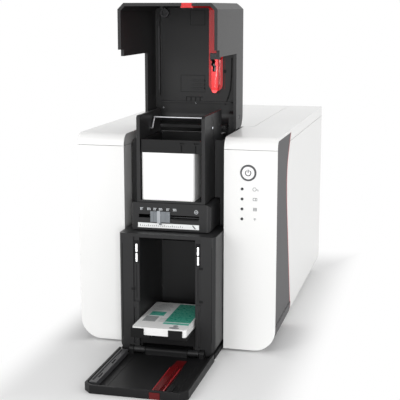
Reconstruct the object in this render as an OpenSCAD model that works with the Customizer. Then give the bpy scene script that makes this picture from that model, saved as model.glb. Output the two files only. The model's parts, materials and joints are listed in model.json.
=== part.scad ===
// Desktop ID card printer with its feeder lid and its hopper door open.
// Millimetres. X runs across the printer, Y from front to back, Z up from the desk.
// Pieces are drawn with y = 0 at the white front panels and moved into the frame by placed().

/* [Body] */
// Width of the white body
body_w = 205; // [195:1:230]
// Depth of the white body
body_d = 341; // [335:1:380]
// Height of the white top above the desk
body_h = 217; // [216:1:222]
// Wall of the white shells and covers
shell_wall = 3; // [2.4:0.2:4]
// Radius of the body's lower long edges
bottom_r = 22; // [12:1:28]
// Radius of the front edge of the top covers
top_edge_r = 11; // [8:0.5:11]
// Height of the top covers, from the seam to the top
top_cover_h = 11.4; // [11.2:0.1:12]
// Gap that shows between the covers
seam_gap = 0.4; // [0.2:0.1:0.8]
// Height of the rubber feet below the body
foot_h = 2; // [1.5:0.5:3]

/* [Centre bay] */
// Distance from the middle to the left panel's inner edge
bay_left = 53.5; // [53:0.5:56]
// Distance from the middle to the right panel's inner edge
bay_right = 49.6; // [49.4:0.2:52]
// Depth of the bay in the top covers
bay_d = 96; // [96:1:100]
// Distance from the front to the bay's inner face
liner_y = 24; // [24:0.5:25]
// Height of the bay's deck above the desk
deck_z = 207; // [205:1:207]

/* [Feeder] */
// Half width of the feeder tower
tower_half_w = 34.5; // [34:0.5:36]
// Distance that the tower stands in front of the panels
tower_front = 18; // [16:1:19]
// Wall of the tower
tower_wall = 3.5; // [3:0.25:3.5]
// Top of the tower
tower_top = 238.5; // [232:0.5:240]
// Level on which the blank cards lie
path_z = 155; // [154:0.5:156]
// Number of blank cards in the feeder
blank_count = 62; // [1:1:70]
// Height by which the card weight can be lifted off the blank cards
weight_lift = 5; // [3:0.5:6]

/* [Cards] */
// Length of a card
card_l = 85.6; // [80:0.1:85.6]
// Width of a card
card_w = 53.98; // [50:0.02:53.98]
// Thickness of a card
card_t = 0.76; // [0.5:0.02:0.84]
// Corner radius of a card
card_r = 3.18; // [2:0.02:4]
// Number of printed cards in the tray
printed_count = 10; // [1:1:12]

/* [Lid] */
// Width of the lid, the hopper and the door
column_w = 97.6; // [97:0.1:98]
// Distance that the closed lid stands in front of the panels
lid_front = 40; // [38:0.5:41]
// Top of the closed lid
lid_top = 246.5; // [245:0.5:248]
// Lower edge of the closed lid's front
lid_bottom = 125.5; // [125:0.5:130]
// Wall of the lid
lid_wall = 3; // [2.5:0.1:3]
// Distance from the lid's hinge back to its rear face
lid_rear = 11.5; // [11:0.5:12]
// Distance from the lid's hinge up to its top face
lid_rise = 17; // [17:0.5:18]

/* [Hopper] */
// Distance that the hopper stands in front of the panels
hopper_front = 33.5; // [33:0.5:34]
// Height of the hopper's top edge
hopper_top = 124; // [122:0.5:124]
// Underside of the hopper above the desk
hopper_base = 4; // [3.5:0.5:4.5]
// Half width of the hopper's chamber
chamber_half_w = 28.4; // [28.4:0.1:29.5]
// Depth of the hopper behind the panels
hopper_back = 52; // [52:0.5:54]
// Distance that the tray travels
tray_travel = 25.7; // [24:0.1:25.7]
// Top of the tray's plate
tray_z = 31.2; // [28:0.2:34]

/* [Door] */
// Length of the door from its hinge to its free edge
door_l = 108.5; // [95:0.5:114]
// Depth of the door's rim
door_h = 8; // [7:0.5:9]
// Wall of the door
door_wall = 2.5; // [2:0.1:2.6]
// Height of the door's hinge above the desk
door_hinge_z = 6.5; // [6.3:0.1:6.8]

/* [Fits] */
// Radial clearance of a shaft in its bearing
shaft_gap = 0.05; // [0.02:0.01:0.1]
// Gap between fixed pieces that stand side by side
part_gap = 0.3; // [0.2:0.05:0.4]

/* [Hidden] */
$fn = 48;

white_abs = "#f2f2f0";
black_abs = "#26262a";
grey_abs = "#5a5a5e";
red_clear = "#c8202c";
steel = "#b9bcc0";
rubber = "#2c2c2e";
board_green = "#1f6b45";

half_w = body_w / 2;
seam_z = body_h - top_cover_h;
rear_inside = body_d - shell_wall;
half_column = column_w / 2;

// Lid hinge and the lid's reach behind it.
lid_hinge_z = lid_top - lid_rise;
lid_hinge_y = 76.5;
lid_back = lid_hinge_y + lid_rear;

// Door hinge: the closed rim meets the hopper's front with a small gap.
door_hinge_y = -hopper_front - part_gap - door_h + door_hinge_z;
door_far = door_hinge_y - door_l;

// The frame's origin is below the middle of the printer as it stands, with the door open.
frame_y = (body_d + door_far) / 2;

module placed() translate([0, -frame_y, 0]) children();

// ---------------------------------------------------------------- shape helpers

module block(x0, x1, y0, y1, z0, z1) translate([x0, y0, z0]) cube([x1 - x0, y1 - y0, z1 - z0]);

// A 2-D child drawn in (y, z), extruded along X.
module along_x(x0, x1) translate([x0, 0, 0]) rotate([90, 0, 90]) linear_extrude(x1 - x0) children();

// A 2-D child drawn in (x, z), extruded along Y.
module along_y(y0, y1) translate([0, y1, 0]) rotate([90, 0, 0]) linear_extrude(y1 - y0) children();

module rod_x(x0, x1, y, z, r) along_x(x0, x1) translate([y, z]) circle(r);

module rod_y(y0, y1, x, z, r) along_y(y0, y1) translate([x, z]) circle(r);

module both_sides() {
    children();
    mirror([1, 0, 0]) children();
}

// Rectangle whose corners (low-left, low-right, top-right, top-left) each have a radius.
module soft_rect(u0, u1, v0, v1, r = [0, 0, 0, 0]) difference() {
    translate([u0, v0]) square([u1 - u0, v1 - v0]);
    for (i = [0:3]) if (r[i] > 0) {
        right = (i == 1 || i == 2);
        top = (i >= 2);
        translate([right ? u1 : u0, top ? v1 : v0]) mirror([right ? 1 : 0, 0]) mirror([0, top ? 1 : 0])
            difference() {
                translate([-1, -1]) square(r[i] + 1);
                translate([r[i], r[i]]) circle(r[i]);
            }
    }
}

function line_point(a, b, t) = a + (b - a) * t;
function curve_point(a, b, c, t) = line_point(line_point(a, b, t), line_point(b, c, t), t);

// Where a line from point p touches a circle at c, on the chosen side.
function touch_point(c, r, p, side) =
    let (d = norm(p - c), turn = side * acos(r / d), base = atan2(p[1] - c[1], p[0] - c[0]))
    c + r * [cos(base + turn), sin(base + turn)];

// ---------------------------------------------------------------- white body

shell_base = foot_h;
return_d = liner_y + shell_wall;

// Body outline across, from the underside to height top.
module body_outline(top, inset = 0) {
    r = bottom_r - inset;
    soft_rect(-half_w + inset, half_w - inset, shell_base + inset, top, [r, r, 0, 0]);
}

// Dark band on a side: its rear edge leans forward to a waist and back to the foot.
band_top = body_h - 3;
band_foot = shell_base + bottom_r + 3;
band_front = 1.6;
band_depth = 1.5;
band_set = 0.5;
accent_w = 1.6;
accent_set = 0.3;
accent_gap = 0.05;
band_upper = [84, band_top];
band_waist = [56, 172];
band_lower = [96, band_foot];
waist_blend = [for (i = [0:8]) curve_point(line_point(band_upper, band_waist, 0.55), band_waist,
    line_point(band_waist, band_lower, 0.3), i / 8)];

// The band's upper front corner follows the round front edge of the top cover.
edge_at = [top_edge_r, body_h - top_edge_r];
band_edge_r = top_edge_r - band_front;
band_edge_end = asin((band_top - edge_at[1]) / band_edge_r);

module band_outline(grow = 0) polygon(concat(
    [[band_front, band_foot]],
    [for (i = [0:6]) edge_at + band_edge_r * [-cos(band_edge_end * i / 6), sin(band_edge_end * i / 6)]],
    [band_upper + [grow, 0]],
    [for (p = waist_blend) p + [grow, 0]],
    [band_lower + [grow, 0]]));

// A 2-D child drawn in (y, z), as a layer between two depths below a side's face.
module side_layer(side, deep, shallow) {
    x_deep = side * (half_w - deep);
    x_shallow = side * (half_w - shallow);
    along_x(min(x_deep, x_shallow), max(x_deep, x_shallow)) children();
}

module band_recess(side) side_layer(side, band_depth, -1) band_outline(accent_w + part_gap);

foot_x = 76;
foot_front = 30;
foot_rear = body_d - 30;
foot_r = 9;
peg_r = 3;

button_x = half_w - 28.7;
button_z = body_h - 34;
bezel_r = 8;
light_x = button_x - 6;
light_pitch = 10;
light_z = [for (i = [0:3]) button_z - 16.1 - i * light_pitch];
light_r = 1.4;
board_y = 10;
post_r = 2.5;
front_board_x = [bay_right + 10.4, half_w - 10.5];
front_board_z = [body_h - 89, body_h - 20];
front_board_t = 1.6;
post_places = [for (z = [front_board_z[1] - 5, front_board_z[0] + 6]) [front_board_x[1] - 7, z]];

// Side shell: outer wall, front panel and the wall that returns into the bay.
module side_shell(side) {
    inner = side < 0 ? -bay_left : bay_right;
    difference() {
        intersection() {
            union() {
                difference() {
                    along_y(0, rear_inside) body_outline(seam_z - seam_gap);
                    along_y(shell_wall, body_d) body_outline(body_h, shell_wall);
                }
                block(inner + (side < 0 ? -shell_wall : 0), inner + (side < 0 ? 0 : shell_wall),
                    0, return_d, shell_base, seam_z - seam_gap);
            }
            block(side < 0 ? -half_w : inner, side < 0 ? inner : half_w, -1, body_d, 0, body_h);
        }
        band_recess(side);
        for (y = [foot_front, foot_rear]) translate([side * foot_x, y, 0])
            cylinder(h = foot_h + shell_wall + 1, r = peg_r + shaft_gap);
    }
}

module left_side_shell() color(white_abs) placed() side_shell(-1);

module right_side_shell() color(white_abs) placed() {
    difference() {
        side_shell(1);
        rod_y(-1, shell_wall + 1, button_x, button_z, bezel_r + part_gap / 2);
        for (z = light_z) rod_y(-1, shell_wall + 1, light_x, z, light_r + 0.1);
    }
    for (p = post_places) rod_y(shell_wall, board_y, p[0], p[1], post_r);
}

// Top cover of one side: wide beside the bay's deck, narrower beside the ribbon cover.
rear_cover_half_w = 60;
cover_skirt = seam_z;
rear_cover_front = bay_d + 1.2;
top_inner = rear_cover_half_w + seam_gap;

module cover_slab(side, inset, drop) {
    bay_edge = side < 0 ? -bay_left : bay_right;
    x_out = side * (half_w - inset);
    x_bay = bay_edge + side * inset;
    x_rear = side * (top_inner + inset);
    profile_top = body_h - inset;
    difference() {
        along_x(min(x_out, x_bay), max(x_out, x_bay))
            soft_rect(inset, rear_inside - inset, cover_skirt - drop, profile_top,
                [0, 0, 0, top_edge_r - inset]);
        block(min(x_rear, x_bay - side), max(x_rear, x_bay - side), bay_d - inset, body_d, 0, body_h + 1);
    }
}

module top_cover(side) difference() {
    cover_slab(side, 0, 0);
    cover_slab(side, shell_wall, 1);
    band_recess(side);
}

module left_top_cover() color(white_abs) placed() top_cover(-1);

module right_top_cover() color(white_abs) placed() top_cover(1);

// Rear panel with its sockets' openings, the vent and the notch under the ribbon cover.
notch_z = body_h - 19.2;
socket_z = 52;
net_x = 30;
usb_x = 54;
inlet_x = 76;
fan_x = -22;
fan_z = 120;
fan_size = 40;
fan_d = 10;
vent_slots = 7;
vent_pitch = 5;
vent_h = 2.4;
screw_x = half_w - 12.5;
screw_top_z = body_h - 27;
screw_places = [[-screw_x, screw_top_z], [screw_x, screw_top_z], [-screw_x, 40], [screw_x, 30],
    [-60, 90], [0, 30]];
screw_head_r = 3;
screw_head_h = 1.5;
screw_r = 1.5;

module rear_panel() color(white_abs) placed() difference() {
    along_y(rear_inside, body_d) body_outline(body_h);
    block(-top_inner, top_inner, rear_inside - 1, body_d + 1, notch_z, body_h + 1);
    block(net_x - 8.2, net_x + 8.2, rear_inside - 1, body_d + 1, socket_z - 7, socket_z + 7);
    block(usb_x - 6.2, usb_x + 6.2, rear_inside - 1, body_d + 1, socket_z - 5.7, socket_z + 5.7);
    rod_y(rear_inside - 1, body_d + 1, inlet_x, socket_z, 6.2);
    for (i = [0:vent_slots - 1]) {
        z = fan_z + (i - (vent_slots - 1) / 2) * vent_pitch;
        block(fan_x - 16, fan_x + 16, rear_inside - 1, body_d + 1, z - vent_h / 2, z + vent_h / 2);
    }
    for (p = screw_places) {
        rod_y(rear_inside - 1, body_d + 1, p[0], p[1], screw_r + shaft_gap);
        rod_y(body_d - screw_head_h, body_d + 1, p[0], p[1], screw_head_r + part_gap);
    }
}

module panel_screws() color(steel) placed() for (p = screw_places) {
    difference() {
        rod_y(body_d - screw_head_h, body_d, p[0], p[1], screw_head_r);
        translate([p[0], body_d, p[1]]) {
            cube([0.8, 1.6, 4], center = true);
            cube([4, 1.6, 0.8], center = true);
        }
    }
    rod_y(rear_inside - 6, body_d - screw_head_h, p[0], p[1], screw_r);
}

// Dark band and the thin red line along its rear edge, in the recess of the shell and the cover.
module side_band(side) side_layer(side, band_depth, band_set) band_outline();

module accent_line(side) side_layer(side, band_depth, accent_set) difference() {
    band_outline(accent_w);
    band_outline(accent_gap);
    square([band_front + 1, body_h]);
}

module left_side_band() color(grey_abs) placed() side_band(-1);

module right_side_band() color(grey_abs) placed() side_band(1);

module accent_lines() color(red_clear) placed() {
    accent_line(-1);
    accent_line(1);
}

module rubber_feet() color(rubber) placed()
    for (x = [-foot_x, foot_x]) for (y = [foot_front, foot_rear]) translate([x, y, 0]) {
        cylinder(h = foot_h, r = foot_r);
        cylinder(h = foot_h + shell_wall, r = peg_r);
    }

// ---------------------------------------------------------------- frame inside

plate_t = 1.5;
plate_x = 44;
plate_front = liner_y + shell_wall + 1;
plate_rear = 300;
plate_top = deck_z - shell_wall;
lower_front = hopper_back + 4;
base_z = shell_base + shell_wall;
upstand_h = 12;
upstand_t = 3;
vent_half_l = 30;
base_vent_w = 3;
base_vent_first = 100;
base_vent_last = 268;
base_vent_pitch = 8;

module base_plate() color(grey_abs) placed() difference() {
    union() {
        block(-bay_left + part_gap, bay_right - part_gap, hopper_back, rear_inside, shell_base, base_z);
        for (y = [lower_front, plate_rear - upstand_t])
            block(-plate_x, plate_x, y, y + upstand_t, base_z, base_z + upstand_h);
    }
    for (y = [base_vent_first:base_vent_pitch:base_vent_last])
        block(-vent_half_l, vent_half_l, y, y + base_vent_w, shell_base - 1, base_z + 1);
}

// Roller centres in (y, z), all carried by the two side plates.
roller_r = 7;
roller_z = path_z - part_gap - roller_r;
platen_r = 8;
feed_at = [35, roller_z];
clean_at = [90, roller_z];
transport_at = [120, roller_z];
platen_at = [152, path_z - part_gap - platen_r];
rear_at = [196, roller_z];
eject_at = [62, 94.7];
supply_at = [196, 189];
take_up_at = [112, 189];
motor_at = [236, 80];
shaft_r = 3;
shaft_places = [feed_at, clean_at, transport_at, platen_at, rear_at, eject_at, supply_at, take_up_at];
motor_boss_r = 11;

module side_plate(side) {
    x = side * plate_x;
    along_x(min(x, x + side * plate_t), max(x, x + side * plate_t)) difference() {
        polygon([[plate_front, hopper_top + 3], [plate_front, plate_top], [plate_rear, plate_top],
            [plate_rear, base_z], [lower_front, base_z], [lower_front, hopper_top + 3]]);
        for (p = shaft_places) translate(p) circle(shaft_r + shaft_gap);
        if (side < 0) translate(motor_at) circle(motor_boss_r + part_gap);
    }
}

module left_side_plate() color(steel) placed() side_plate(-1);

module right_side_plate() color(steel) placed() side_plate(1);

// Black liner of the bay: face plate, deck, rear rim and the ears of the lid's hinge.
ear_inner = 38.5;
ear_outer = 44.5;
ear_r = 5.5;
lid_pin_r = 2;
gauge_half_w = 40;
gauge_top = path_z - 2.5;
liner_top = deck_z + 4;
rim_gap = 2;
rim_top = lid_hinge_z - lid_rear - rim_gap;

module bay_liner() color(black_abs) placed() {
    left = -bay_left + part_gap;
    right = bay_right - part_gap;
    back = bay_d - part_gap;
    deck_low = deck_z - shell_wall;
    opening = tower_half_w + part_gap;
    difference() {
        along_y(liner_y, return_d) soft_rect(left, right, hopper_top + part_gap, liner_top, [0, 0, 3, 7]);
        block(-opening, opening, liner_y - 1, return_d + 1, 0, liner_top + 1);
        block(-gauge_half_w - part_gap, gauge_half_w + part_gap, liner_y - 1, return_d + 1,
            0, gauge_top + part_gap);
    }
    block(left, -half_column - part_gap, liner_y, return_d, shell_base + shell_wall, hopper_top + part_gap);
    difference() {
        block(left, right, return_d, back, deck_low, deck_z);
        block(-opening, opening, liner_y, tower_back + part_gap, 0, body_h);
    }
    block(left, right, back - 3.5, back, deck_z, rim_top);
    both_sides() along_x(ear_inner, ear_outer) difference() {
        union() {
            translate([lid_hinge_y, lid_hinge_z]) circle(ear_r);
            translate([lid_hinge_y - ear_r, deck_z]) square([2 * ear_r, lid_hinge_z - deck_z]);
        }
        translate([lid_hinge_y, lid_hinge_z]) circle(lid_pin_r + shaft_gap);
    }
}

// ---------------------------------------------------------------- feeder

tower_inner = tower_half_w - tower_wall;
tower_back = 74;
tower_floor = path_z - 2.2;
tower_step_y = 55;
tower_step_z = deck_z + 6;
card_x = -30.4;
card_y = -16;
wire_r = 1.1;
wire_y = 28;
wire_z = 232.3;
wire_foot = [20, 222];
weight_low = path_z + blank_count * card_t + 0.2;
weight_top = wire_foot[1] - wire_r - 0.9 - weight_lift;
weight_wall = 2.4;
weight_half_w = tower_inner - 0.5;
// The lifted weight ends between the tower's high walls, clear of the open lid.
weight_back = tower_step_y - 1;
groove_y = 40;
groove_w = 6;
groove_d = 1.3;
tab_h = 8;
mark_x = [9, 23.3];
mark_w = 4.8;
mark_t = 1.4;
mark_d = 1.6;
mark_low = weight_top - 3.8;

module tower_side_outline() difference() {
    polygon([[-tower_front, tower_floor], [-tower_front, tower_top], [tower_step_y, tower_top],
        [tower_step_y, tower_step_z], [tower_back, tower_step_z], [tower_back, tower_floor]]);
    translate([-tower_front, tower_top]) rotate(45) square(3, center = true);
    translate(wire_foot) circle(wire_r + shaft_gap);
}

module feeder_tower() color(black_abs) placed() difference() {
    union() {
        both_sides() along_x(tower_inner, tower_half_w) tower_side_outline();
        block(-tower_inner, tower_inner, tower_back - 3, tower_back, tower_floor, tower_step_z);
        block(-tower_inner, tower_inner, -tower_front, tower_back - 3, tower_floor, path_z);
    }
    // Window over the feed roller and the gate for the lowest card.
    block(-16, 16, feed_at[0] - 10, feed_at[0] + 10, tower_floor - 1, path_z + 1);
    block(-tower_inner, tower_inner, tower_back - 4, tower_back + 1, path_z, path_z + 1.4);
    // Grooves that guide the card weight.
    block(-tower_inner - groove_d, tower_inner + groove_d, groove_y - part_gap,
        groove_y + groove_w + part_gap, path_z, weight_low + tab_h + weight_lift + part_gap);
}

// Sprung steel wire across the tower, clipped into both of its walls.
module tower_wire() color(steel) placed() {
    top_x = tower_inner - wire_r - 0.4;
    leg = [wire_y, wire_z] - wire_foot;
    rod_x(-top_x, top_x, wire_y, wire_z, wire_r);
    both_sides() {
        translate([top_x, wire_foot[0], wire_foot[1]])
            rotate([-atan2(leg[0], leg[1]), 0, 0]) cylinder(h = norm(leg) + wire_r / 2, r = wire_r);
        rod_x(top_x - wire_r / 2, tower_half_w - 0.5, wire_foot[0], wire_foot[1], wire_r);
    }
}

module card(x, y, z) translate([x, y, z]) linear_extrude(card_t)
    soft_rect(0, card_w, 0, card_l, [card_r, card_r, card_r, card_r]);

module blank_cards() color(white_abs) placed()
    for (i = [0:blank_count - 1]) card(card_x, card_y, path_z + i * card_t);

// Weight on the blank cards: an open box with a tab in each groove and two T-shaped marks in front.
module card_weight() color(black_abs) placed() {
    difference() {
        block(-weight_half_w, weight_half_w, card_y, weight_back, weight_low, weight_top);
        block(-weight_half_w + weight_wall, weight_half_w - weight_wall, card_y + weight_wall,
            weight_back - weight_wall, weight_low + weight_wall, weight_top + 1);
        for (x = mark_x) {
            block(x, x + mark_w, card_y - 1, card_y + mark_d, mark_low, mark_low + mark_t);
            block(x + 1, x + 1 + mark_t, card_y - 1, card_y + mark_d, weight_low + 1, mark_low - mark_t);
        }
    }
    both_sides() block(weight_half_w - 1, tower_inner + groove_d - part_gap, groove_y, groove_y + groove_w,
        weight_low, weight_low + tab_h);
}

// Gauge block below the tower: slot, scale strip and the slider that sets the card thickness.
gauge_low = hopper_top + 1;
slot_low = 137.2;
slot_high = 140.8;
slot_left = -32.8;
slot_right = 28.8;
label_low = 127.2;
label_high = 132.2;
label_t = 0.5;
label_gap = 0.1;
slot_gap = 0.2;
slider_t = 1.5;
stem_w = 12;
stem_foot = 2;
pointer_half_w = 1.2;
gauge_wall = 3;
slider_x = -10.4;
slider_w = 20;
slider_low = 133.4;
slider_high = 144.2;

module gauge_housing() color(black_abs) placed() difference() {
    intersection() {
        along_y(-tower_front, liner_y - part_gap)
            soft_rect(-gauge_half_w, gauge_half_w, gauge_low, gauge_top, [2, 2, 5, 2]);
        linear_extrude(body_h) soft_rect(-gauge_half_w, gauge_half_w, -tower_front, liner_y, [2, 4, 0, 0]);
    }
    block(-gauge_half_w + gauge_wall, gauge_half_w - gauge_wall, -tower_front + gauge_wall, liner_y,
        gauge_low - 1, gauge_top - gauge_wall);
    block(slot_left, slot_right, -tower_front - 1, -tower_front + 4, slot_low, slot_high);
    block(slot_left - 1, slot_right, -tower_front - 1, -tower_front + label_t, label_low, label_high);
}

module gauge_label() color(white_abs) placed()
    block(slot_left - 1 + label_gap, slot_right - label_gap, -tower_front, -tower_front + label_t,
        label_low + label_gap, label_high - label_gap);

module gauge_slider() color(white_abs) placed() {
    face = -tower_front - part_gap;
    wall_back = -tower_front + gauge_wall + part_gap;
    stem_left = slider_x - stem_w / 2;
    stem_right = slider_x + stem_w / 2;
    difference() {
        block(slider_x - slider_w / 2, slider_x + slider_w / 2, face - slider_t, face,
            slider_low, slider_high);
        for (x = [slider_x - 6, slider_x + 6])
            block(x - 1, x + 1, face - slider_t - 1, face - slider_t + 0.5, slider_low + 1, slider_high - 1);
    }
    // Pointer over the scale, then the stem through the slot with its foot behind the wall.
    block(slider_x - pointer_half_w, slider_x + pointer_half_w, face - 1.2, face,
        label_high - 1.4, slider_low);
    block(stem_left, stem_right, face, wall_back, slot_low + slot_gap, slot_high - slot_gap);
    block(stem_left, stem_right, wall_back, wall_back + 1.7, slot_low - stem_foot, slot_high + stem_foot);
}

// ---------------------------------------------------------------- output hopper

// The tray's closed place, just behind the closed door, sets the open one and the chamber's depth.
tray_side_gap = 0.4;
tray_door_gap = 0.5;
tray_end_gap = 0.6;
tray_half_w = chamber_half_w - tray_side_gap;
tray_plate_t = 2.7;
lip_t = 1.2;
lip_h = 6.6;
door_inner_y = -hopper_front - part_gap - door_h + door_wall;
tray_front = door_inner_y + tray_door_gap + lip_t + part_gap - tray_travel;
tray_back = tray_front + card_l + tray_side_gap;
stack_top = tray_z + max(lip_h, printed_count * card_t);
chamber_back = tray_back + tray_travel + tray_end_gap;
chamber_floor = 8;
chamber_top = 120;
frame_half_w = 34.3;
frame_d = 1.6;
guide_inner = chamber_half_w + 0.2;
guide_top = 55;
guide_low = 12;
light_low = 95.5;
light_high = 115.5;
light_half = 0.8;
light_at = 31.2;
exit_low = 99.4;
exit_high = 104.6;
knuckle_r = 3.2;
door_pin_r = 1.5;
lug_spans = [[-33, -22], [22, 33]];
knuckle_spans = [[-38.4, -33.6], [-21.4, 21.4], [33.6, 38.4]];

module hopper_box() color(black_abs) placed() difference() {
    union() {
        intersection() {
            along_y(-hopper_front, hopper_back)
                soft_rect(-half_column, half_column, hopper_base, hopper_top, [10, 10, 0, 0]);
            linear_extrude(body_h)
                soft_rect(-half_column, half_column, -hopper_front, hopper_back + 1, [4, 4, 0, 0]);
        }
        for (s = lug_spans) {
            rod_x(s[0], s[1], door_hinge_y, door_hinge_z, knuckle_r);
            block(s[0], s[1], door_hinge_y, -hopper_front + 1, hopper_base, door_hinge_z + knuckle_r);
        }
    }
    block(-chamber_half_w, chamber_half_w, -hopper_front - 1, chamber_back, chamber_floor, chamber_top);
    block(-frame_half_w, frame_half_w, -hopper_front - 1, -hopper_front + frame_d,
        guide_low, chamber_top + 1);
    block(-27.8, 27.8, chamber_back - 1, hopper_back + 1, exit_low, exit_high);
    both_sides() {
        // Hollow behind the front frame.
        block(chamber_half_w + 2.5, half_column - 3, -hopper_front + 5, hopper_back + 1,
            chamber_floor + 4, hopper_top - 3);
        block(light_at - light_half, light_at + light_half, -hopper_front, -hopper_front + 6,
            light_low, light_high);
        block(light_at - 0.4, light_at + 0.4, -hopper_front, -hopper_front + frame_d + 0.8,
            guide_top + 4, light_low - 3);
    }
    // Room for the door's knuckles.
    for (s = knuckle_spans)
        block(s[0] - part_gap, s[1] + part_gap, -hopper_front - 1, door_hinge_y + knuckle_r + 0.6,
            0, door_hinge_z + knuckle_r + 0.6);
    rod_x(-half_column - 1, half_column + 1, door_hinge_y, door_hinge_z, door_pin_r + shaft_gap);
}

module hopper_guides() color(grey_abs) placed() both_sides() difference() {
    block(guide_inner, frame_half_w - 0.1, -hopper_front + 0.1, -hopper_front + frame_d,
        guide_low, guide_top);
    block(frame_half_w - 2.2, frame_half_w, -hopper_front - 1, -hopper_front + 0.9,
        guide_low - 1, guide_top - 6);
}

module hopper_light_guides() color("white") placed() both_sides()
    block(light_at - light_half + 0.1, light_at + light_half - 0.1, -hopper_front + frame_d - 0.6,
        -hopper_front + 5, light_low + 0.1, light_high - 0.1);

// Tray of the printed cards, drawn forward while the door is open.
module card_tray() color(black_abs) placed() {
    low = tray_z - tray_plate_t;
    skirt_front = -hopper_front + 2;
    difference() {
        block(-tray_half_w, tray_half_w, tray_front - part_gap - lip_t, tray_back, low, tray_z);
        block(-9, 9, tray_front - part_gap - lip_t - 1, tray_front + 14, low - 1, tray_z + 1);
    }
    for (s = [[-tray_half_w, -15], [9.5, 23.5]])
        block(s[0], s[1], tray_front - part_gap - lip_t, tray_front - part_gap, tray_z, tray_z + lip_h);
    both_sides() block(tray_half_w - 2, tray_half_w, skirt_front, tray_back, chamber_floor + part_gap, low);
    block(-tray_half_w + 2, tray_half_w - 2, skirt_front, skirt_front + 2, chamber_floor + 4, low);
}

module printed_cards() color(white_abs) placed()
    for (i = [0:printed_count - 1]) card(-card_w / 2, tray_front, tray_z + i * card_t);

// ---------------------------------------------------------------- lid, drawn closed and turned open

window_left = 14;
window_right = 24;
window_t = 1.6;
lid_corner = 6;
lid_front_r = 6;
lid_rear_r = 13;
lid_fillet = lid_front_r - lid_wall;
flange_rear = 10.5;
wall_low = deck_z + 6;
// The rear wall's lower edge swings past the tower's rear corner.
swing_gap = 0.7;
corner_reach = norm([lid_hinge_y - tower_back, lid_hinge_z - tower_step_z]) - swing_gap;
rear_edge_z = lid_hinge_z - sqrt(pow(corner_reach, 2) - pow(lid_rear, 2));

module lid_opened() translate([0, lid_hinge_y, lid_hinge_z]) rotate([-90, 0, 0])
    translate([0, -lid_hinge_y, -lid_hinge_z]) children();

// Solid with the lid's outer form, drawn in by inset.
module lid_form(inset) {
    x = half_column - inset;
    c = lid_corner - inset * 0.586;
    front = -lid_front + inset;
    intersection() {
        along_x(-x, x) soft_rect(front, lid_back - inset, lid_bottom - inset, lid_top - inset,
            [0, 0, lid_rear_r - inset, lid_front_r - inset]);
        linear_extrude(lid_top) polygon([[-x, front + c], [-x + c, front], [x - c, front], [x, front + c],
            [x, lid_back - inset], [-x, lid_back - inset]]);
    }
}

module lid_shell() difference() {
    lid_form(0);
    lid_form(lid_wall);
    // Sides are deep at the front and shallow above the deck.
    block(-half_column - 1, half_column + 1, flange_rear, lid_back + 1, 0, wall_low);
    block(-half_column - 1, half_column + 1, flange_rear - 6.5, lid_back, 0, lid_bottom + 9);
    // The rear wall leaves room for the hinge ears and stays clear of the deck.
    both_sides() block(ear_inner - 1.2, half_column - lid_wall, lid_hinge_y, lid_back + 1,
        0, lid_hinge_z + ear_r + 2);
    block(-tower_half_w - 1, tower_half_w + 1, lid_hinge_y, lid_back + 1, 0, rear_edge_z);
    rod_x(-half_column - 1, half_column + 1, lid_hinge_y, lid_hinge_z, lid_pin_r + shaft_gap);
    block(window_left, window_right, -lid_front - 1, -lid_front + lid_wall + 1, 0, lid_top - 20);
}

module lid() color(black_abs) placed() lid_opened() {
    inner_top = lid_top - lid_wall;
    lid_shell();
    // Ribs along the top plate.
    for (x = [-41, 41]) block(x - 0.8, x + 0.8, -lid_front + 12, lid_hinge_y - 20, inner_top - 4, inner_top);
    for (y = [40, 44, 48]) block(-6, 8, y, y + 1.2, inner_top - 2, inner_top);
    block(-38, 38, lid_hinge_y - 14, lid_hinge_y - 12.5, inner_top - 3, inner_top);
}

// Clear red strip: through the front wall, then along the inside of the top plate.
module lid_red_window() color(red_clear) placed() lid_opened() {
    inner_top = lid_top - lid_wall;
    x0 = window_left + 0.1;
    x1 = window_right - 0.1;
    end_y = 44;
    mid = (x0 + x1) / 2 + 1.5;
    block(x0, x1, -lid_front, -lid_front + lid_wall + window_t, lid_bottom, lid_top - 20.1);
    // One bent layer inside the front wall and the top plate, cut off at the lid's inner fillet.
    front = -lid_front + lid_wall;
    bend = lid_fillet + window_t * (sqrt(2) - 1);
    along_x(x0 - 1, x1 + 1) polygon([[front, lid_bottom + 1], [front, inner_top - lid_fillet],
        [front + lid_fillet, inner_top], [end_y, inner_top], [end_y, inner_top - window_t],
        [front + bend, inner_top - window_t], [front + window_t, inner_top - bend],
        [front + window_t, lid_bottom + 1]]);
    block(x0 - 1, x1 + 4, front + bend, end_y, inner_top - window_t, inner_top);
    translate([mid, end_y, inner_top - window_t]) cylinder(h = window_t, r = (x1 - x0 + 5) / 2);
    block(mid - 4.2, mid + 4.2, 10, end_y, inner_top - 5, inner_top - window_t);
    translate([mid, end_y, inner_top - 5]) cylinder(h = 5 - window_t, r = 4.2);
}

module lid_latch() color(grey_abs) placed() lid_opened() {
    x = -34.5;
    front = -lid_front + lid_wall;
    inner_top = lid_top - lid_wall;
    difference() {
        translate([x, front + 7, inner_top - 6]) cylinder(h = 6, r = 4.6);
        translate([x, front + 7, inner_top - 7]) cylinder(h = 4, r = 2.6);
    }
    block(x - 1.2, x + 1.2, front, front + 2.8, inner_top - 16, inner_top - lid_fillet);
}

module lid_hinge_pins() color(steel) placed() both_sides()
    rod_x(ear_inner, half_column - 0.4, lid_hinge_y, lid_hinge_z, lid_pin_r);

// ---------------------------------------------------------------- door, drawn open on the desk

rim_near = door_hinge_y - 2;
door_corner = 7;
rail_left = -46;
rail_right = -38;
strip_near = -48;
strip_room = 2;
raised_near = door_hinge_y + door_hinge_z - stack_top - strip_room;
flange_t = 1.5;
ridge_h = 2.5;

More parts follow.
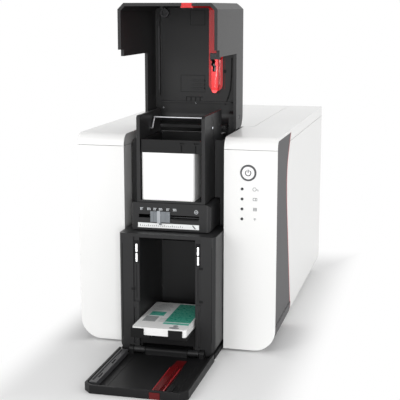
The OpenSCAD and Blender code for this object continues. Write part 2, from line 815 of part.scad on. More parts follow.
module door_plan(inset) {
    x = half_column - inset;
    c = door_corner - inset * 0.586;
    polygon([[-x, door_hinge_y + 1], [-x, door_far + inset + c], [-x + c, door_far + inset],
        [x - c, door_far + inset], [x, door_far + inset + c], [x, door_hinge_y + 1]]);
}

module door() color(black_abs) placed() difference() {
    union() {
        difference() {
            linear_extrude(door_h) door_plan(0);
            translate([0, 0, door_wall]) linear_extrude(door_h) door_plan(door_wall);
            block(-half_column - 1, half_column + 1, rim_near, 0, door_wall, door_h + 1);
            block(-half_column - 1, half_column + 1, door_hinge_y, 0, -1, door_h + 1);
        }
        for (s = knuckle_spans) {
            rod_x(s[0], s[1], door_hinge_y, door_hinge_z, knuckle_r);
            block(s[0], s[1], door_hinge_y - knuckle_r, door_hinge_y, door_wall - 0.5, door_hinge_z);
        }
        block(27, 32, door_far + 10, door_far + 27, door_wall - 0.5, door_wall + 2.5);
    }
    rod_x(-half_column - 1, half_column + 1, door_hinge_y, door_hinge_z, door_pin_r + shaft_gap);
    block(window_left, window_right, door_far - 1, door_far + door_wall + 1, -1, door_h - 1.5);
    block(window_left, window_right, door_far - 1, strip_near, -1, door_wall + 1);
}

module door_red_window() color(red_clear) placed() {
    x0 = window_left + 0.1;
    x1 = window_right - 0.1;
    block(x0, x1, door_far, strip_near - 0.1, 0, door_wall);
    block(x0, x1, door_far, door_far + door_wall, door_wall, door_h - 1.6);
    // With the door closed, the raised part starts above the tray and its cards.
    block(x0 - 1, x1 + 1, door_far + door_wall, raised_near, door_wall, door_wall + flange_t);
    block(x0 + 2.4, x1 - 2.4, door_far + door_wall, raised_near,
        door_wall + flange_t, door_wall + flange_t + ridge_h);
}

module door_rail() color(grey_abs) placed() difference() {
    block(rail_left, rail_right, door_far + door_wall + door_corner, rim_near - 4, door_wall, door_h - 0.4);
    for (y = [-84, -122]) block(rail_left + 4.6, rail_right - 2, y, y + 12, door_h - 3, door_h);
    block(rail_left + 2, rail_left + 3, door_far + 14, rim_near - 8, door_h - 1.4, door_h);
}

module door_hinge_pin() color(steel) placed()
    rod_x(knuckle_spans[0][0], knuckle_spans[2][1], door_hinge_y, door_hinge_z, door_pin_r);

// ---------------------------------------------------------------- front controls

button_r = 6.2;
button_travel = 1.5;
switch_t = 2;

module power_button() color(white_abs) placed() {
    rod_y(-0.6, 2.4, button_x, button_z, button_r);
    rod_y(2.4, 3.9, button_x, button_z, bezel_r - 1.2);
    rod_y(3.9, board_y - switch_t - button_travel - part_gap, button_x, button_z, 2);
}

module button_bezel() color(grey_abs) placed() difference() {
    union() {
        rod_y(-0.3, shell_wall, button_x, button_z, bezel_r);
        rod_y(shell_wall, 7.4, button_x, button_z, bezel_r + 1.5);
    }
    rod_y(-1, 2, button_x, button_z, button_r + 0.15);
    rod_y(2, 8, button_x, button_z, bezel_r - 1);
}

module front_board() color(board_green) placed() {
    difference() {
        block(front_board_x[0], front_board_x[1], board_y, board_y + front_board_t,
            front_board_z[0], front_board_z[1]);
        for (p = post_places) rod_y(board_y - 1, board_y + 3, p[0], p[1], 1);
    }
    block(button_x - 3, button_x + 3, board_y - switch_t, board_y, button_z - 3, button_z + 3);
    block(front_board_x[0] + 6, front_board_x[1] - 2, board_y + front_board_t, board_y + 5,
        front_board_z[0] + 14, front_board_z[0] + 22);
}

module status_light_pipes() color("#cfe4ff") placed() for (z = light_z) {
    rod_y(-0.1, board_y, light_x, z, light_r);
    rod_y(shell_wall, shell_wall + 1, light_x, z, light_r + 1);
}

// ---------------------------------------------------------------- ribbon cover and print head

cover_hinge_y = body_d - 11.5;
cover_hinge_z = body_h - 9;
cover_ear_r = 4.5;
cover_pin_r = 2;
bracket_in = 50;
bracket_out = 53;
bracket_low = notch_z - 18;
bracket_foot_h = 12;
cover_plate_z = body_h - shell_wall;
head_half_w = 30;
head_y = [145, 160];
head_low = path_z + 1.6;

module ribbon_cover() color(white_abs) placed() difference() {
    union() {
        difference() {
            along_x(-rear_cover_half_w, rear_cover_half_w)
                soft_rect(rear_cover_front, body_d, cover_plate_z - 6, body_h, [0, 0, 2, 0]);
            block(-rear_cover_half_w + shell_wall, rear_cover_half_w - shell_wall,
                rear_cover_front + shell_wall, body_d - shell_wall, 0, cover_plate_z);
        }
        block(-rear_cover_half_w, rear_cover_half_w, body_d - shell_wall, body_d,
            cover_hinge_z - 6, cover_plate_z);
        both_sides() along_x(bracket_out + 0.6, rear_cover_half_w - 1) union() {
            translate([cover_hinge_y, cover_hinge_z]) circle(cover_ear_r);
            translate([cover_hinge_y - cover_ear_r, cover_hinge_z]) square([2 * cover_ear_r, 7]);
        }
    }
    both_sides()
        block(bracket_in - 0.6, bracket_out + 0.6, body_d - 4, body_d + 1, 0, cover_plate_z - 0.5);
    rod_x(-rear_cover_half_w + 1, rear_cover_half_w - 1, cover_hinge_y, cover_hinge_z,
        cover_pin_r + shaft_gap);
}

module cover_hinge_brackets() color(grey_abs) placed() both_sides() along_x(bracket_in, bracket_out)
    difference() {
        union() {
            translate([cover_hinge_y, cover_hinge_z]) circle(cover_ear_r);
            translate([cover_hinge_y - cover_ear_r, bracket_low])
                square([2 * cover_ear_r, cover_hinge_z - bracket_low]);
            translate([cover_hinge_y - cover_ear_r, bracket_low])
                square([rear_inside - cover_hinge_y + cover_ear_r, bracket_foot_h]);
        }
        translate([cover_hinge_y, cover_hinge_z]) circle(cover_pin_r + shaft_gap);
    }

module cover_hinge_rod() color(steel) placed()
    rod_x(-rear_cover_half_w + 1.5, rear_cover_half_w - 1.5, cover_hinge_y, cover_hinge_z, cover_pin_r);

module head_bracket() color(grey_abs) placed() {
    block(-24, 24, head_y[0] + 2, head_y[1] - 2, head_low + 10, head_low + 13);
    both_sides() block(20, 24, head_y[0] + 2, head_y[1] - 2, head_low + 13, cover_plate_z);
    block(-20, 20, head_y[0] + 6, head_y[0] + 8, head_low + 13, cover_plate_z);
}

module print_head() color(steel) placed() {
    along_x(-head_half_w, head_half_w) polygon([[head_y[0], head_low + 10], [head_y[1], head_low + 10],
        [head_y[1], head_low + 4], [head_y[1] - 5, head_low], [head_y[0] + 5, head_low],
        [head_y[0], head_low + 4]]);
}

// ---------------------------------------------------------------- rollers, spools and drive

pulley_in = 53.5;
pulley_out = 58;
pulley_r = 6;

module roller(at, r, half_l) {
    rod_x(-half_l, half_l, at[0], at[1], r);
    rod_x(-pulley_out, plate_x + plate_t + 2, at[0], at[1], shaft_r);
    rod_x(-pulley_out, -pulley_in, at[0], at[1], pulley_r);
    // Collars that hold the roller between the plates.
    both_sides() rod_x(plate_x - 3, plate_x - part_gap, at[0], at[1], shaft_r + 1.5);
}

module platen_roller() color(rubber) placed() roller(platen_at, platen_r, 30);

module feed_roller() color(rubber) placed() roller(feed_at, roller_r, 14);

module cleaning_roller() color("#3f7fb5") placed() roller(clean_at, roller_r, 28);

module transport_roller() color(rubber) placed() roller(transport_at, roller_r, 28);

module rear_roller() color(rubber) placed() roller(rear_at, roller_r, 28);

module eject_roller() color(rubber) placed() roller(eject_at, roller_r, 26);

module spool(at, r) {
    rod_x(-30, 30, at[0], at[1], r);
    both_sides() rod_x(31, 33, at[0], at[1], 12);
    rod_x(-35, 35, at[0], at[1], 7);
    rod_x(-plate_x - plate_t - 2, plate_x + plate_t + 2, at[0], at[1], shaft_r);
    both_sides() rod_x(plate_x - 4, plate_x - part_gap, at[0], at[1], shaft_r + 2);
}

supply_r = 17;
take_up_r = 12;

module supply_spool() color("#3a3050") placed() spool(supply_at, supply_r);

module take_up_spool() color("#3a3050") placed() spool(take_up_at, take_up_r);

// Ribbon stretched from one spool, under the print head, to the other.
film_t = 0.3;
film_z = path_z + 1;

module ribbon_film() color("#503a78") placed() {
    rear_turn = [head_y[1], film_z];
    front_turn = [head_y[0], film_z];
    up = [0, film_t];
    from_supply = touch_point(supply_at, supply_r + part_gap, rear_turn, 1);
    to_take_up = touch_point(take_up_at, take_up_r + part_gap, front_turn, -1);
    along_x(-28, 28) polygon([from_supply, rear_turn, front_turn, to_take_up,
        to_take_up + up, front_turn + up, rear_turn + up, from_supply + up]);
}

motor_half = 21;
motor_l = 34;

module drive_motor() color(grey_abs) placed() {
    difference() {
        block(-plate_x, -plate_x + motor_l, motor_at[0] - motor_half, motor_at[0] + motor_half,
            motor_at[1] - motor_half, motor_at[1] + motor_half);
        for (dy = [-1, 1]) for (dz = [-1, 1])
            translate([-plate_x + motor_l / 2, motor_at[0] + dy * motor_half, motor_at[1] + dz * motor_half])
                rotate([45, 0, 0]) cube([motor_l + 2, 5, 5], center = true);
        rod_x(-plate_x - 1, -plate_x + 12, motor_at[0], motor_at[1], 2.5 + shaft_gap);
    }
    difference() {
        rod_x(-plate_x - plate_t, -plate_x, motor_at[0], motor_at[1], motor_boss_r);
        rod_x(-plate_x - plate_t - 1, -plate_x + 1, motor_at[0], motor_at[1], 2.5 + shaft_gap);
    }
}

module motor_pulley() color(steel) placed() {
    rod_x(-pulley_out, -pulley_in, motor_at[0], motor_at[1], pulley_r);
    rod_x(-pulley_in, -plate_x + 11, motor_at[0], motor_at[1], 2.5);
}

belt_places = [feed_at, rear_at, motor_at, eject_at];

module belt_loop(grow) hull() for (p = belt_places) translate(p) circle(pulley_r + grow);

module drive_belt() color(rubber) placed() along_x(-pulley_out + 0.3, -pulley_in - 0.3) difference() {
    belt_loop(part_gap + 1.4);
    belt_loop(part_gap);
}

// ---------------------------------------------------------------- electronics

main_x = plate_x + plate_t + 14;
main_y = [110, 290];
main_z = [40, 170];
standoff_places = [[118, 48], [282, 48], [118, 162], [282, 162]];

module main_board() color(board_green) placed() {
    difference() {
        block(main_x, main_x + 1.6, main_y[0], main_y[1], main_z[0], main_z[1]);
        for (p = standoff_places) rod_x(main_x - 1, main_x + 3, p[0], p[1], 1.5);
    }
    block(main_x + 1.6, main_x + 4, 160, 185, 100, 125);
    block(main_x + 1.6, main_x + 12, 230, 246, 60, 90);
    for (y = [130, 200, 262]) block(main_x + 1.6, main_x + 9, y, y + 8, 140, 160);
}

module board_standoffs() color(steel) placed() for (p = standoff_places)
    rod_x(plate_x + plate_t, main_x, p[0], p[1], 3);

// Small board inside the rear panel with the sockets that reach through it.
module interface_sockets() color(grey_abs) placed() {
    front = rear_inside - 14;
    depth = rear_inside - 0.4;
    difference() {
        block(net_x - 8, net_x + 8, front, body_d - 0.4, socket_z - 6.8, socket_z + 6.8);
        block(net_x - 6, net_x + 6, body_d - 10, body_d, socket_z - 4.8, socket_z + 4);
        block(net_x - 3, net_x + 3, body_d - 10, body_d, socket_z + 4, socket_z + 5.6);
    }
    difference() {
        block(usb_x - 6, usb_x + 6, front, body_d - 0.4, socket_z - 5.5, socket_z + 5.5);
        block(usb_x - 4.3, usb_x + 4.3, body_d - 9, body_d, socket_z - 4, socket_z + 4);
    }
    block(usb_x - 3, usb_x + 3, body_d - 9, body_d - 1.4, socket_z - 1.6, socket_z + 1.6);
    difference() {
        rod_y(front, body_d - 0.4, inlet_x, socket_z, 6);
        rod_y(body_d - 10, body_d, inlet_x, socket_z, 4.2);
    }
    rod_y(body_d - 10, body_d - 1.4, inlet_x, socket_z, 1);
    block(net_x - 14, inlet_x + 12, front - 1.6, front, socket_z - 14, socket_z + 14);
    for (x = [net_x - 11, inlet_x + 9]) rod_y(front, rear_inside, x, socket_z + 10, 2.5);
}

module cooling_fan() color(black_abs) placed() difference() {
    block(fan_x - fan_size / 2, fan_x + fan_size / 2, rear_inside - fan_d, rear_inside,
        fan_z - fan_size / 2, fan_z + fan_size / 2);
    difference() {
        rod_y(rear_inside - 11, rear_inside + 1, fan_x, fan_z, 18.6);
        rod_y(rear_inside - 10, rear_inside - 8.6, fan_x, fan_z, 8);
        for (a = [0, 90]) translate([fan_x, rear_inside - 9.3, fan_z]) rotate([0, a + 45, 0])
            cube([40, 1.4, 3], center = true);
    }
    rod_y(rear_inside - 11, rear_inside - 4, fan_x, fan_z, 1 + shaft_gap);
}

module fan_rotor() color(grey_abs) placed() {
    rod_y(rear_inside - 8.3, rear_inside - 1, fan_x, fan_z, 9);
    rod_y(rear_inside - 9.9, rear_inside - 8.3, fan_x, fan_z, 1);
    for (i = [0:6]) translate([fan_x, rear_inside - 4.6, fan_z]) rotate([0, i * 360 / 7, 0])
        translate([13, 0, 0]) rotate([35, 0, 0]) cube([9.4, 1.2, 6.4], center = true);
}

base_plate();
left_side_shell();
right_side_shell();
left_top_cover();
right_top_cover();
rear_panel();
left_side_band();
right_side_band();
accent_lines();
rubber_feet();
bay_liner();
feeder_tower();
tower_wire();
blank_cards();
card_weight();
gauge_housing();
gauge_label();
gauge_slider();
hopper_box();
hopper_guides();
hopper_light_guides();
card_tray();
printed_cards();
lid();
lid_red_window();
lid_latch();
lid_hinge_pins();
door();
door_red_window();
door_rail();
door_hinge_pin();
power_button();
button_bezel();
front_board();
status_light_pipes();
ribbon_cover();
cover_hinge_rod();
cover_hinge_brackets();
print_head();
head_bracket();
left_side_plate();
right_side_plate();
platen_roller();
feed_roller();
cleaning_roller();
transport_roller();
rear_roller();
eject_roller();
supply_spool();
take_up_spool();
ribbon_film();
drive_motor();
motor_pulley();
drive_belt();
main_board();
board_standoffs();
interface_sockets();
cooling_fan();
fan_rotor();
panel_screws();
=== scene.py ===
"""Desktop card printer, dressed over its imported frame: finishes, printed marks, trim and studio."""

from __future__ import annotations

import json
import logging
import math
from dataclasses import dataclass, field
from enum import Enum
from typing import Any, Sequence

import bmesh
import bpy
from mathutils import Matrix, Vector

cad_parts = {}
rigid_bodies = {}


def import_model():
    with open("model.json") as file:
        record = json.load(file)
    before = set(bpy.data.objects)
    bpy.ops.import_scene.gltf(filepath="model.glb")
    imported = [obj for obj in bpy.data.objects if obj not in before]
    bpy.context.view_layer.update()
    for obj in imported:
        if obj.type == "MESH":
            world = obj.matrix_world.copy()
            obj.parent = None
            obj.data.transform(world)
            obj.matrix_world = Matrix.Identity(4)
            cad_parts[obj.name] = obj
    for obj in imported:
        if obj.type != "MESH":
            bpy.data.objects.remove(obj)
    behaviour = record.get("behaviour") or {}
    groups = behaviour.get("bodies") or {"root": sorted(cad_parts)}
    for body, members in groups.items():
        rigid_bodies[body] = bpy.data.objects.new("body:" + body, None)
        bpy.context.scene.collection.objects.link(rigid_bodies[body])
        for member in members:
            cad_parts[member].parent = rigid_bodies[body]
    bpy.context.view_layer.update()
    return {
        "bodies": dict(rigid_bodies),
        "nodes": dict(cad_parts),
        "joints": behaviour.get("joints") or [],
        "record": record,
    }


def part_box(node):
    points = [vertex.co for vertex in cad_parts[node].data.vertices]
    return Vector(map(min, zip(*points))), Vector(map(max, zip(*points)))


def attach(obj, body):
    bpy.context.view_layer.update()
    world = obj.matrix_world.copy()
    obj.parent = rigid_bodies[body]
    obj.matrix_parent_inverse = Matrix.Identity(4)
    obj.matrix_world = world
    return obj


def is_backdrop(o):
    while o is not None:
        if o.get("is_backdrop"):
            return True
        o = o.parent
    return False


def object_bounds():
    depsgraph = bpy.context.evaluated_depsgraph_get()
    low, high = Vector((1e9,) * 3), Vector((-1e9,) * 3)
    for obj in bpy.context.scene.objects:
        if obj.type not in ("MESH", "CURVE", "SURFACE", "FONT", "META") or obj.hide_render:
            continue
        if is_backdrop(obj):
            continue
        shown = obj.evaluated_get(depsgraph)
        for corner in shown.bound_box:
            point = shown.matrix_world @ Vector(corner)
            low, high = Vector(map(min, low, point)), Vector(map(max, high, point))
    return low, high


LOG = logging.getLogger("card_printer")
MM = 0.001
INK_T = 0.12  # height of a printed mark, mm
SIT = 0.02  # gap between a mark and the face it lies on, mm
CARD_T = 0.76  # thickness of one card, mm
DISC_SIDES = 32
ARC_STEP_DEG = 12  # angle that one segment of a ring covers
ARC_MIN_STEPS = 6
STROKE_JOINT = 0.6  # share of its width by which a drawn stroke is lengthened, to close its corners
MERGE_DIST = 1e-7  # corners of one piece that lie closer than this are one, m
WELD_DIST = 1e-6  # the same for a solid of the frame, m
SHARP_DEG = 42  # edges that turn by more than this are rounded
WHITE = (1.0, 1.0, 1.0, 1.0)

Material = bpy.types.Material
Tree = bpy.types.NodeTree
Socket = bpy.types.NodeSocket
Pair = tuple[float, float]
Triple = tuple[float, float, float]
Four = tuple[float, float, float, float]


class Part(Enum):
    """Bodies that the pieces of this script ride on."""

    CHASSIS = "chassis"
    LID = "lid"
    DOOR = "door"
    TRAY = "card_tray"
    SLIDER = "gauge_slider"
    BUTTON = "power_button"


class Facing(Enum):
    """Which way a flat mark looks; the value gives its right and up directions."""

    FRONT = (Vector((1, 0, 0)), Vector((0, 0, 1)))
    TOP = (Vector((1, 0, 0)), Vector((0, 1, 0)))
    RIGHT = (Vector((0, 1, 0)), Vector((0, 0, 1)))

    @property
    def normal(self) -> Vector:
        """Direction that the mark looks in."""
        return self.value[0].cross(self.value[1])


def mm(x: float, y: float, z: float) -> Vector:
    """A shift given in mm, in metres."""
    return Vector((x * MM, y * MM, z * MM))


def linear(colour: str) -> Four:
    """Turns an sRGB hex value to linear light.

    Args:
        colour: six hex digits after a hash.

    Returns:
        Linear red, green and blue, and full opacity.
    """
    channels = [int(colour[i : i + 2], 16) / 255 for i in (1, 3, 5)]
    red, green, blue = (c / 12.92 if c <= 0.04045 else ((c + 0.055) / 1.055) ** 2.4 for c in channels)
    return (red, green, blue, 1.0)


def add_node(tree: Tree, kind: str, inputs: dict | None = None, **settings: Any) -> bpy.types.Node:
    """Adds a node with its settings and links.

    Args:
        tree: node tree to add it to.
        kind: Blender's name of the node's type.
        inputs: socket name or number to a value, or to an output socket to link.
        settings: attributes of the node itself.

    Returns:
        The new node.
    """
    node = tree.nodes.new(kind)
    for name, value in settings.items():
        setattr(node, name, value)
    for socket, value in (inputs or {}).items():
        if isinstance(value, Socket):
            tree.links.new(value, node.inputs[socket])
        else:
            node.inputs[socket].default_value = value
    return node


def add_math(tree: Tree, operation: str, *values: Any) -> Socket:
    """Adds an operation on one or two numbers or sockets, and returns its result's socket."""
    return add_node(tree, "ShaderNodeMath", dict(enumerate(values)), operation=operation).outputs[0]


def add_noise(tree: Tree, place: Socket, size_mm: float, detail: float) -> Socket:
    """Adds a noise with spots of a real size, and returns its socket, from 0 to 1."""
    values = {"Vector": place, "Scale": 1 / (size_mm * MM), "Detail": detail}
    return add_node(tree, "ShaderNodeTexNoise", values).outputs["Fac"]


def add_relief(tree: Tree, height: Socket, strength: float, depth_mm: float) -> Socket:
    """Adds a fine relief of a real depth, which only the light sees, and returns the normal's socket."""
    values = {"Height": height, "Strength": strength, "Distance": depth_mm * MM}
    return add_node(tree, "ShaderNodeBump", values).outputs["Normal"]


def add_surface(tree: Tree, inputs: dict[str, Any]) -> None:
    """Adds a Principled shader with these inputs and makes it the material's surface."""
    shader = add_node(tree, "ShaderNodeBsdfPrincipled", inputs)
    add_node(tree, "ShaderNodeOutputMaterial", {"Surface": shader.outputs["BSDF"]})


def blend_colours(tree: Tree, share: Socket, first: Four, second: Four) -> Socket:
    """Mixes two linear colours by the second one's share, and returns the result's socket."""
    # A colour mix has its two colours at inputs 6 and 7 and its result at output 2.
    mixed = add_node(tree, "ShaderNodeMix", {"Factor": share, 6: first, 7: second}, data_type="RGBA")
    return mixed.outputs[2]


def new_material(name: str) -> tuple[Material, Tree, Socket]:
    """Makes an empty node material.

    Args:
        name: the material's name.

    Returns:
        The material, its cleared node tree and a socket with the Object coordinates.
    """
    material = bpy.data.materials.new(name)
    material.use_nodes = True
    tree = material.node_tree
    tree.nodes.clear()
    return material, tree, add_node(tree, "ShaderNodeTexCoord").outputs["Object"]


def backdrop_rays(tree: Tree) -> Socket:
    """Finds the rays that show the white backdrop: the camera's, and what gloss and clear plastic send.

    Args:
        tree: node tree to work in.

    Returns:
        Socket that is 1 for those rays and 0 for the light on the printer.
    """
    path = add_node(tree, "ShaderNodeLightPath")
    either = add_math(tree, "MAXIMUM", path.outputs["Is Camera Ray"], path.outputs["Is Glossy Ray"])
    return add_math(tree, "MAXIMUM", either, path.outputs["Is Transmission Ray"])


@dataclass(frozen=True)
class MouldedPlastic:
    """Injection-moulded ABS: spark-eroded grain in the tool gives a fine, even sheen."""

    name: str
    colour: str
    roughness: float = 0.4
    grain_mm: float = 0.5  # drawn coarser than the real 0.1 mm so that it shows
    grain_depth: float = 0.06
    tone: float = 0.06
    ior: float = 1.53
    coat: float = 0.0
    shine: float = 0.5  # Blender's specular level: 0.5 is the plain reflection of the IOR
    coat_roughness: float = 0.12
    slow_mm: float = 45.0  # size of the slow changes of tone
    relief_mm: float = 0.1
    grain_range: Pair = (0.3, 0.7)
    sheen_range: Pair = (-0.04, 0.06)  # change of roughness from the grain's lows to its highs

    def build(self) -> Material:
        """Makes the material.

        Returns:
            Grained plastic with slow changes of tone and sheen.
        """
        material, tree, coords = new_material(self.name)
        base = linear(self.colour)
        shade = tuple(c * (1 - self.tone) for c in base[:3]) + (1.0,)
        grain = add_noise(tree, coords, self.grain_mm, 3.0)
        slow = add_noise(tree, coords, self.slow_mm, 2.0)
        sheen = add_node(tree, "ShaderNodeMapRange", {
            "Value": grain, "From Min": self.grain_range[0], "From Max": self.grain_range[1],
            "To Min": self.roughness + self.sheen_range[0], "To Max": self.roughness + self.sheen_range[1]})
        add_surface(tree, {
            "Base Color": blend_colours(tree, slow, shade, base),
            "Roughness": sheen.outputs["Result"],
            "Normal": add_relief(tree, grain, self.grain_depth, self.relief_mm),
            "IOR": self.ior, "Specular IOR Level": self.shine,
            "Coat Weight": self.coat, "Coat Roughness": self.coat_roughness})
        return material


@dataclass(frozen=True)
class BrushedMetal:
    """Drawn or brushed steel: long fine scratches along one axis stretch its highlights."""

    name: str
    colour: str = "#c9cbcf"
    roughness: float = 0.26
    scratch_mm: float = 0.25
    stretch: float = 0.03  # scale of the scratches along X, against that across
    scratch_depth: float = 0.05
    relief_mm: float = 0.1
    sheen_range: Pair = (-0.08, 0.12)

    def build(self) -> Material:
        """Makes the material.

        Returns:
            Metal with scratches along X.
        """
        material, tree, coords = new_material(self.name)
        along = add_node(tree, "ShaderNodeMapping", {"Vector": coords, "Scale": (self.stretch, 1.0, 1.0)})
        scratch = add_noise(tree, along.outputs["Vector"], self.scratch_mm, 2.0)
        sheen = add_node(tree, "ShaderNodeMapRange", {
            "Value": scratch, "To Min": self.roughness + self.sheen_range[0],
            "To Max": self.roughness + self.sheen_range[1]})
        add_surface(tree, {
            "Base Color": linear(self.colour), "Metallic": 1.0, "Roughness": sheen.outputs["Result"],
            "Normal": add_relief(tree, scratch, self.scratch_depth, self.relief_mm)})
        return material


@dataclass(frozen=True)
class ClearPlastic:
    """Tinted polycarbonate: smooth and part see-through, so that its edges gather light."""

    name: str
    colour: str
    roughness: float = 0.14
    through: float = 0.35
    glow: float = 0.0
    shine: float = 0.5
    ior: float = 1.585
    flow_mm: float = 6.0
    flow_depth: float = 0.05
    relief_mm: float = 0.2

    def build(self) -> Material:
        """Makes the material.

        Returns:
            Glossy tinted plastic with faint flow marks.
        """
        material, tree, coords = new_material(self.name)
        base = linear(self.colour)
        flow = add_noise(tree, coords, self.flow_mm, 1.0)
        add_surface(tree, {
            "Base Color": base, "Roughness": self.roughness, "IOR": self.ior,
            "Transmission Weight": self.through,
            "Normal": add_relief(tree, flow, self.flow_depth, self.relief_mm),
            "Emission Color": base, "Emission Strength": self.glow, "Specular IOR Level": self.shine})
        return material


@dataclass(frozen=True)
class StackedCards:
    """Laminated PVC cards in a stack: glossy faces, with a fine darker line between card edges."""

    name: str
    start_mm: float
    colour: str = "#f8f8f7"
    line: str = "#dcdddd"
    line_share: float = 0.16  # of a card's thickness
    upright_below: float = 0.5  # a face whose normal rises less than this is a side of the stack
    roughness: float = 0.3
    ior: float = 1.54

    def build(self) -> Material:
        """Makes the material.

        Returns:
            White plastic with a line at each card's thickness, on upright faces.
        """
        material, tree, coords = new_material(self.name)
        height = add_node(tree, "ShaderNodeSeparateXYZ", {"Vector": coords}).outputs["Z"]
        raised = add_math(tree, "SUBTRACT", height, self.start_mm * MM)
        within = add_math(tree, "FRACT", add_math(tree, "DIVIDE", raised, CARD_T * MM))
        edge = add_math(tree, "LESS_THAN", within, self.line_share)
        normal = add_node(tree, "ShaderNodeNewGeometry").outputs["Normal"]
        tilt = add_node(tree, "ShaderNodeSeparateXYZ", {"Vector": normal}).outputs["Z"]
        upright = add_math(tree, "LESS_THAN", add_math(tree, "ABSOLUTE", tilt), self.upright_below)
        lined = add_math(tree, "MULTIPLY", edge, upright)
        add_surface(tree, {
            "Base Color": blend_colours(tree, lined, linear(self.colour), linear(self.line)),
            "Roughness": self.roughness, "IOR": self.ior})
        return material


@dataclass
class Finishes:
    """Every finish of the printer, made once."""

    made: dict[str, Material] = field(default_factory=dict)

    def build(self, blank_low: float, printed_low: float) -> None:
        """Makes the materials.

        Args:
            blank_low: underside of the blank cards, mm.
            printed_low: underside of the printed cards, mm.
        """
        kinds = [
            MouldedPlastic("white_shell", "#ececeb", 0.34, 0.6, 0.03, 0.015, coat=0.25),
            MouldedPlastic("black_abs", "#1f1f20", 0.42, 0.5, 0.1, 0.12, shine=0.32),
            MouldedPlastic("dark_abs", "#121213", 0.45, 0.5, 0.1, 0.12, shine=0.22),
            MouldedPlastic("grey_abs", "#3f3f41", 0.45, 0.5, 0.08, 0.08, shine=0.35),
            MouldedPlastic("slider_grey", "#74797e", 0.4, 0.5, 0.05, 0.05),
            MouldedPlastic("side_band", "#454446", 0.5, 0.5, 0.05, 0.04, shine=0.3),
            MouldedPlastic("light_grey", "#a7abb0", 0.38, 0.5, 0.04, 0.05),
            MouldedPlastic("button_white", "#f2f2f2", 0.3, 0.6, 0.02, 0.01),
            MouldedPlastic("ring_grey", "#4e4f52", 0.35, 0.5, 0.04, 0.04),
            MouldedPlastic("dark_lens", "#3a3b3e", 0.22, 0.8, 0.02, 0.02),
            MouldedPlastic("deep_black", "#0b0b0c", 0.6, 0.5, 0.05, 0.1, shine=0.2),
            MouldedPlastic("accent_red", "#c8777a", 0.35, 0.5, 0.03, 0.04),
            MouldedPlastic("rubber", "#1d1d1e", 0.75, 0.35, 0.25, 0.15, ior=1.52),
            MouldedPlastic("blue_rubber", "#3f7fb5", 0.55, 0.35, 0.1, 0.08, ior=1.41),
            MouldedPlastic("ribbon", "#3a3058", 0.2, 1.2, 0.02, 0.2, coat=0.4),
            MouldedPlastic("circuit", "#1f6b45", 0.4, 0.9, 0.15, 0.25, coat=0.3),
            MouldedPlastic("ink_dark", "#3c3c3f", 0.5, 0.4, 0.02, 0.05),
            MouldedPlastic("ink_grey", "#8f9093", 0.5, 0.4, 0.02, 0.05),
            MouldedPlastic("ink_pale", "#c9cccf", 0.5, 0.4, 0.02, 0.05),
            MouldedPlastic("card_white", "#eceeee", 0.28, 0.6, 0.01, 0.02, ior=1.54),
            MouldedPlastic("card_grey", "#a9adae", 0.28, 0.6, 0.01, 0.05, ior=1.54),
            MouldedPlastic("card_teal", "#5cc2ae", 0.28, 4.0, 0.0, 0.1, ior=1.54),
            MouldedPlastic("card_green", "#4bb39b", 0.28, 3.0, 0.0, 0.35, ior=1.54),
            BrushedMetal("steel"),
            BrushedMetal("wire_steel", "#c4c5c8", 0.32),
            BrushedMetal("dark_steel", "#3a3a3c", 0.4),
            ClearPlastic("clear_red", "#d8262c", 0.14, 0.3, 0.12),
            # painted highlight: bright, softly glowing red for the strip down the light bar's middle
            ClearPlastic("clear_red_painted_centre_highlight", "#ff5a5c", 0.1, 0.2, 0.55),
            ClearPlastic("clear_red_dim", "#5c0b0e", 0.32, 0.1, 0.02, 0.2),
            # painted highlight: bright, faintly glowing red for the lit edges of the door's clear strip
            ClearPlastic("clear_red_painted_edge_highlight", "#b8343a", 0.16, 0.1, 0.1),
            ClearPlastic("clear_light", "#ffffff", 0.2, 0.1, 0.95),
            StackedCards("blank_stack", blank_low),
            StackedCards("printed_stack", printed_low),
        ]
        self.made = {kind.name: kind.build() for kind in kinds}
        LOG.info("finishes: %d", len(self.made))

    def get(self, name: str) -> Material:
        """One finish by its name."""
        return self.made[name]


@dataclass
class Bench:
    """Shared measures of the frame, and the finishes that pieces take."""

    finishes: Finishes
    front_y: float  # white panels' plane, m

    def at(self, x: float, y: float, z: float) -> Vector:
        """Point given in mm from the middle, the white panels' plane and the desk."""
        return Vector((x * MM, self.front_y + y * MM, z * MM))


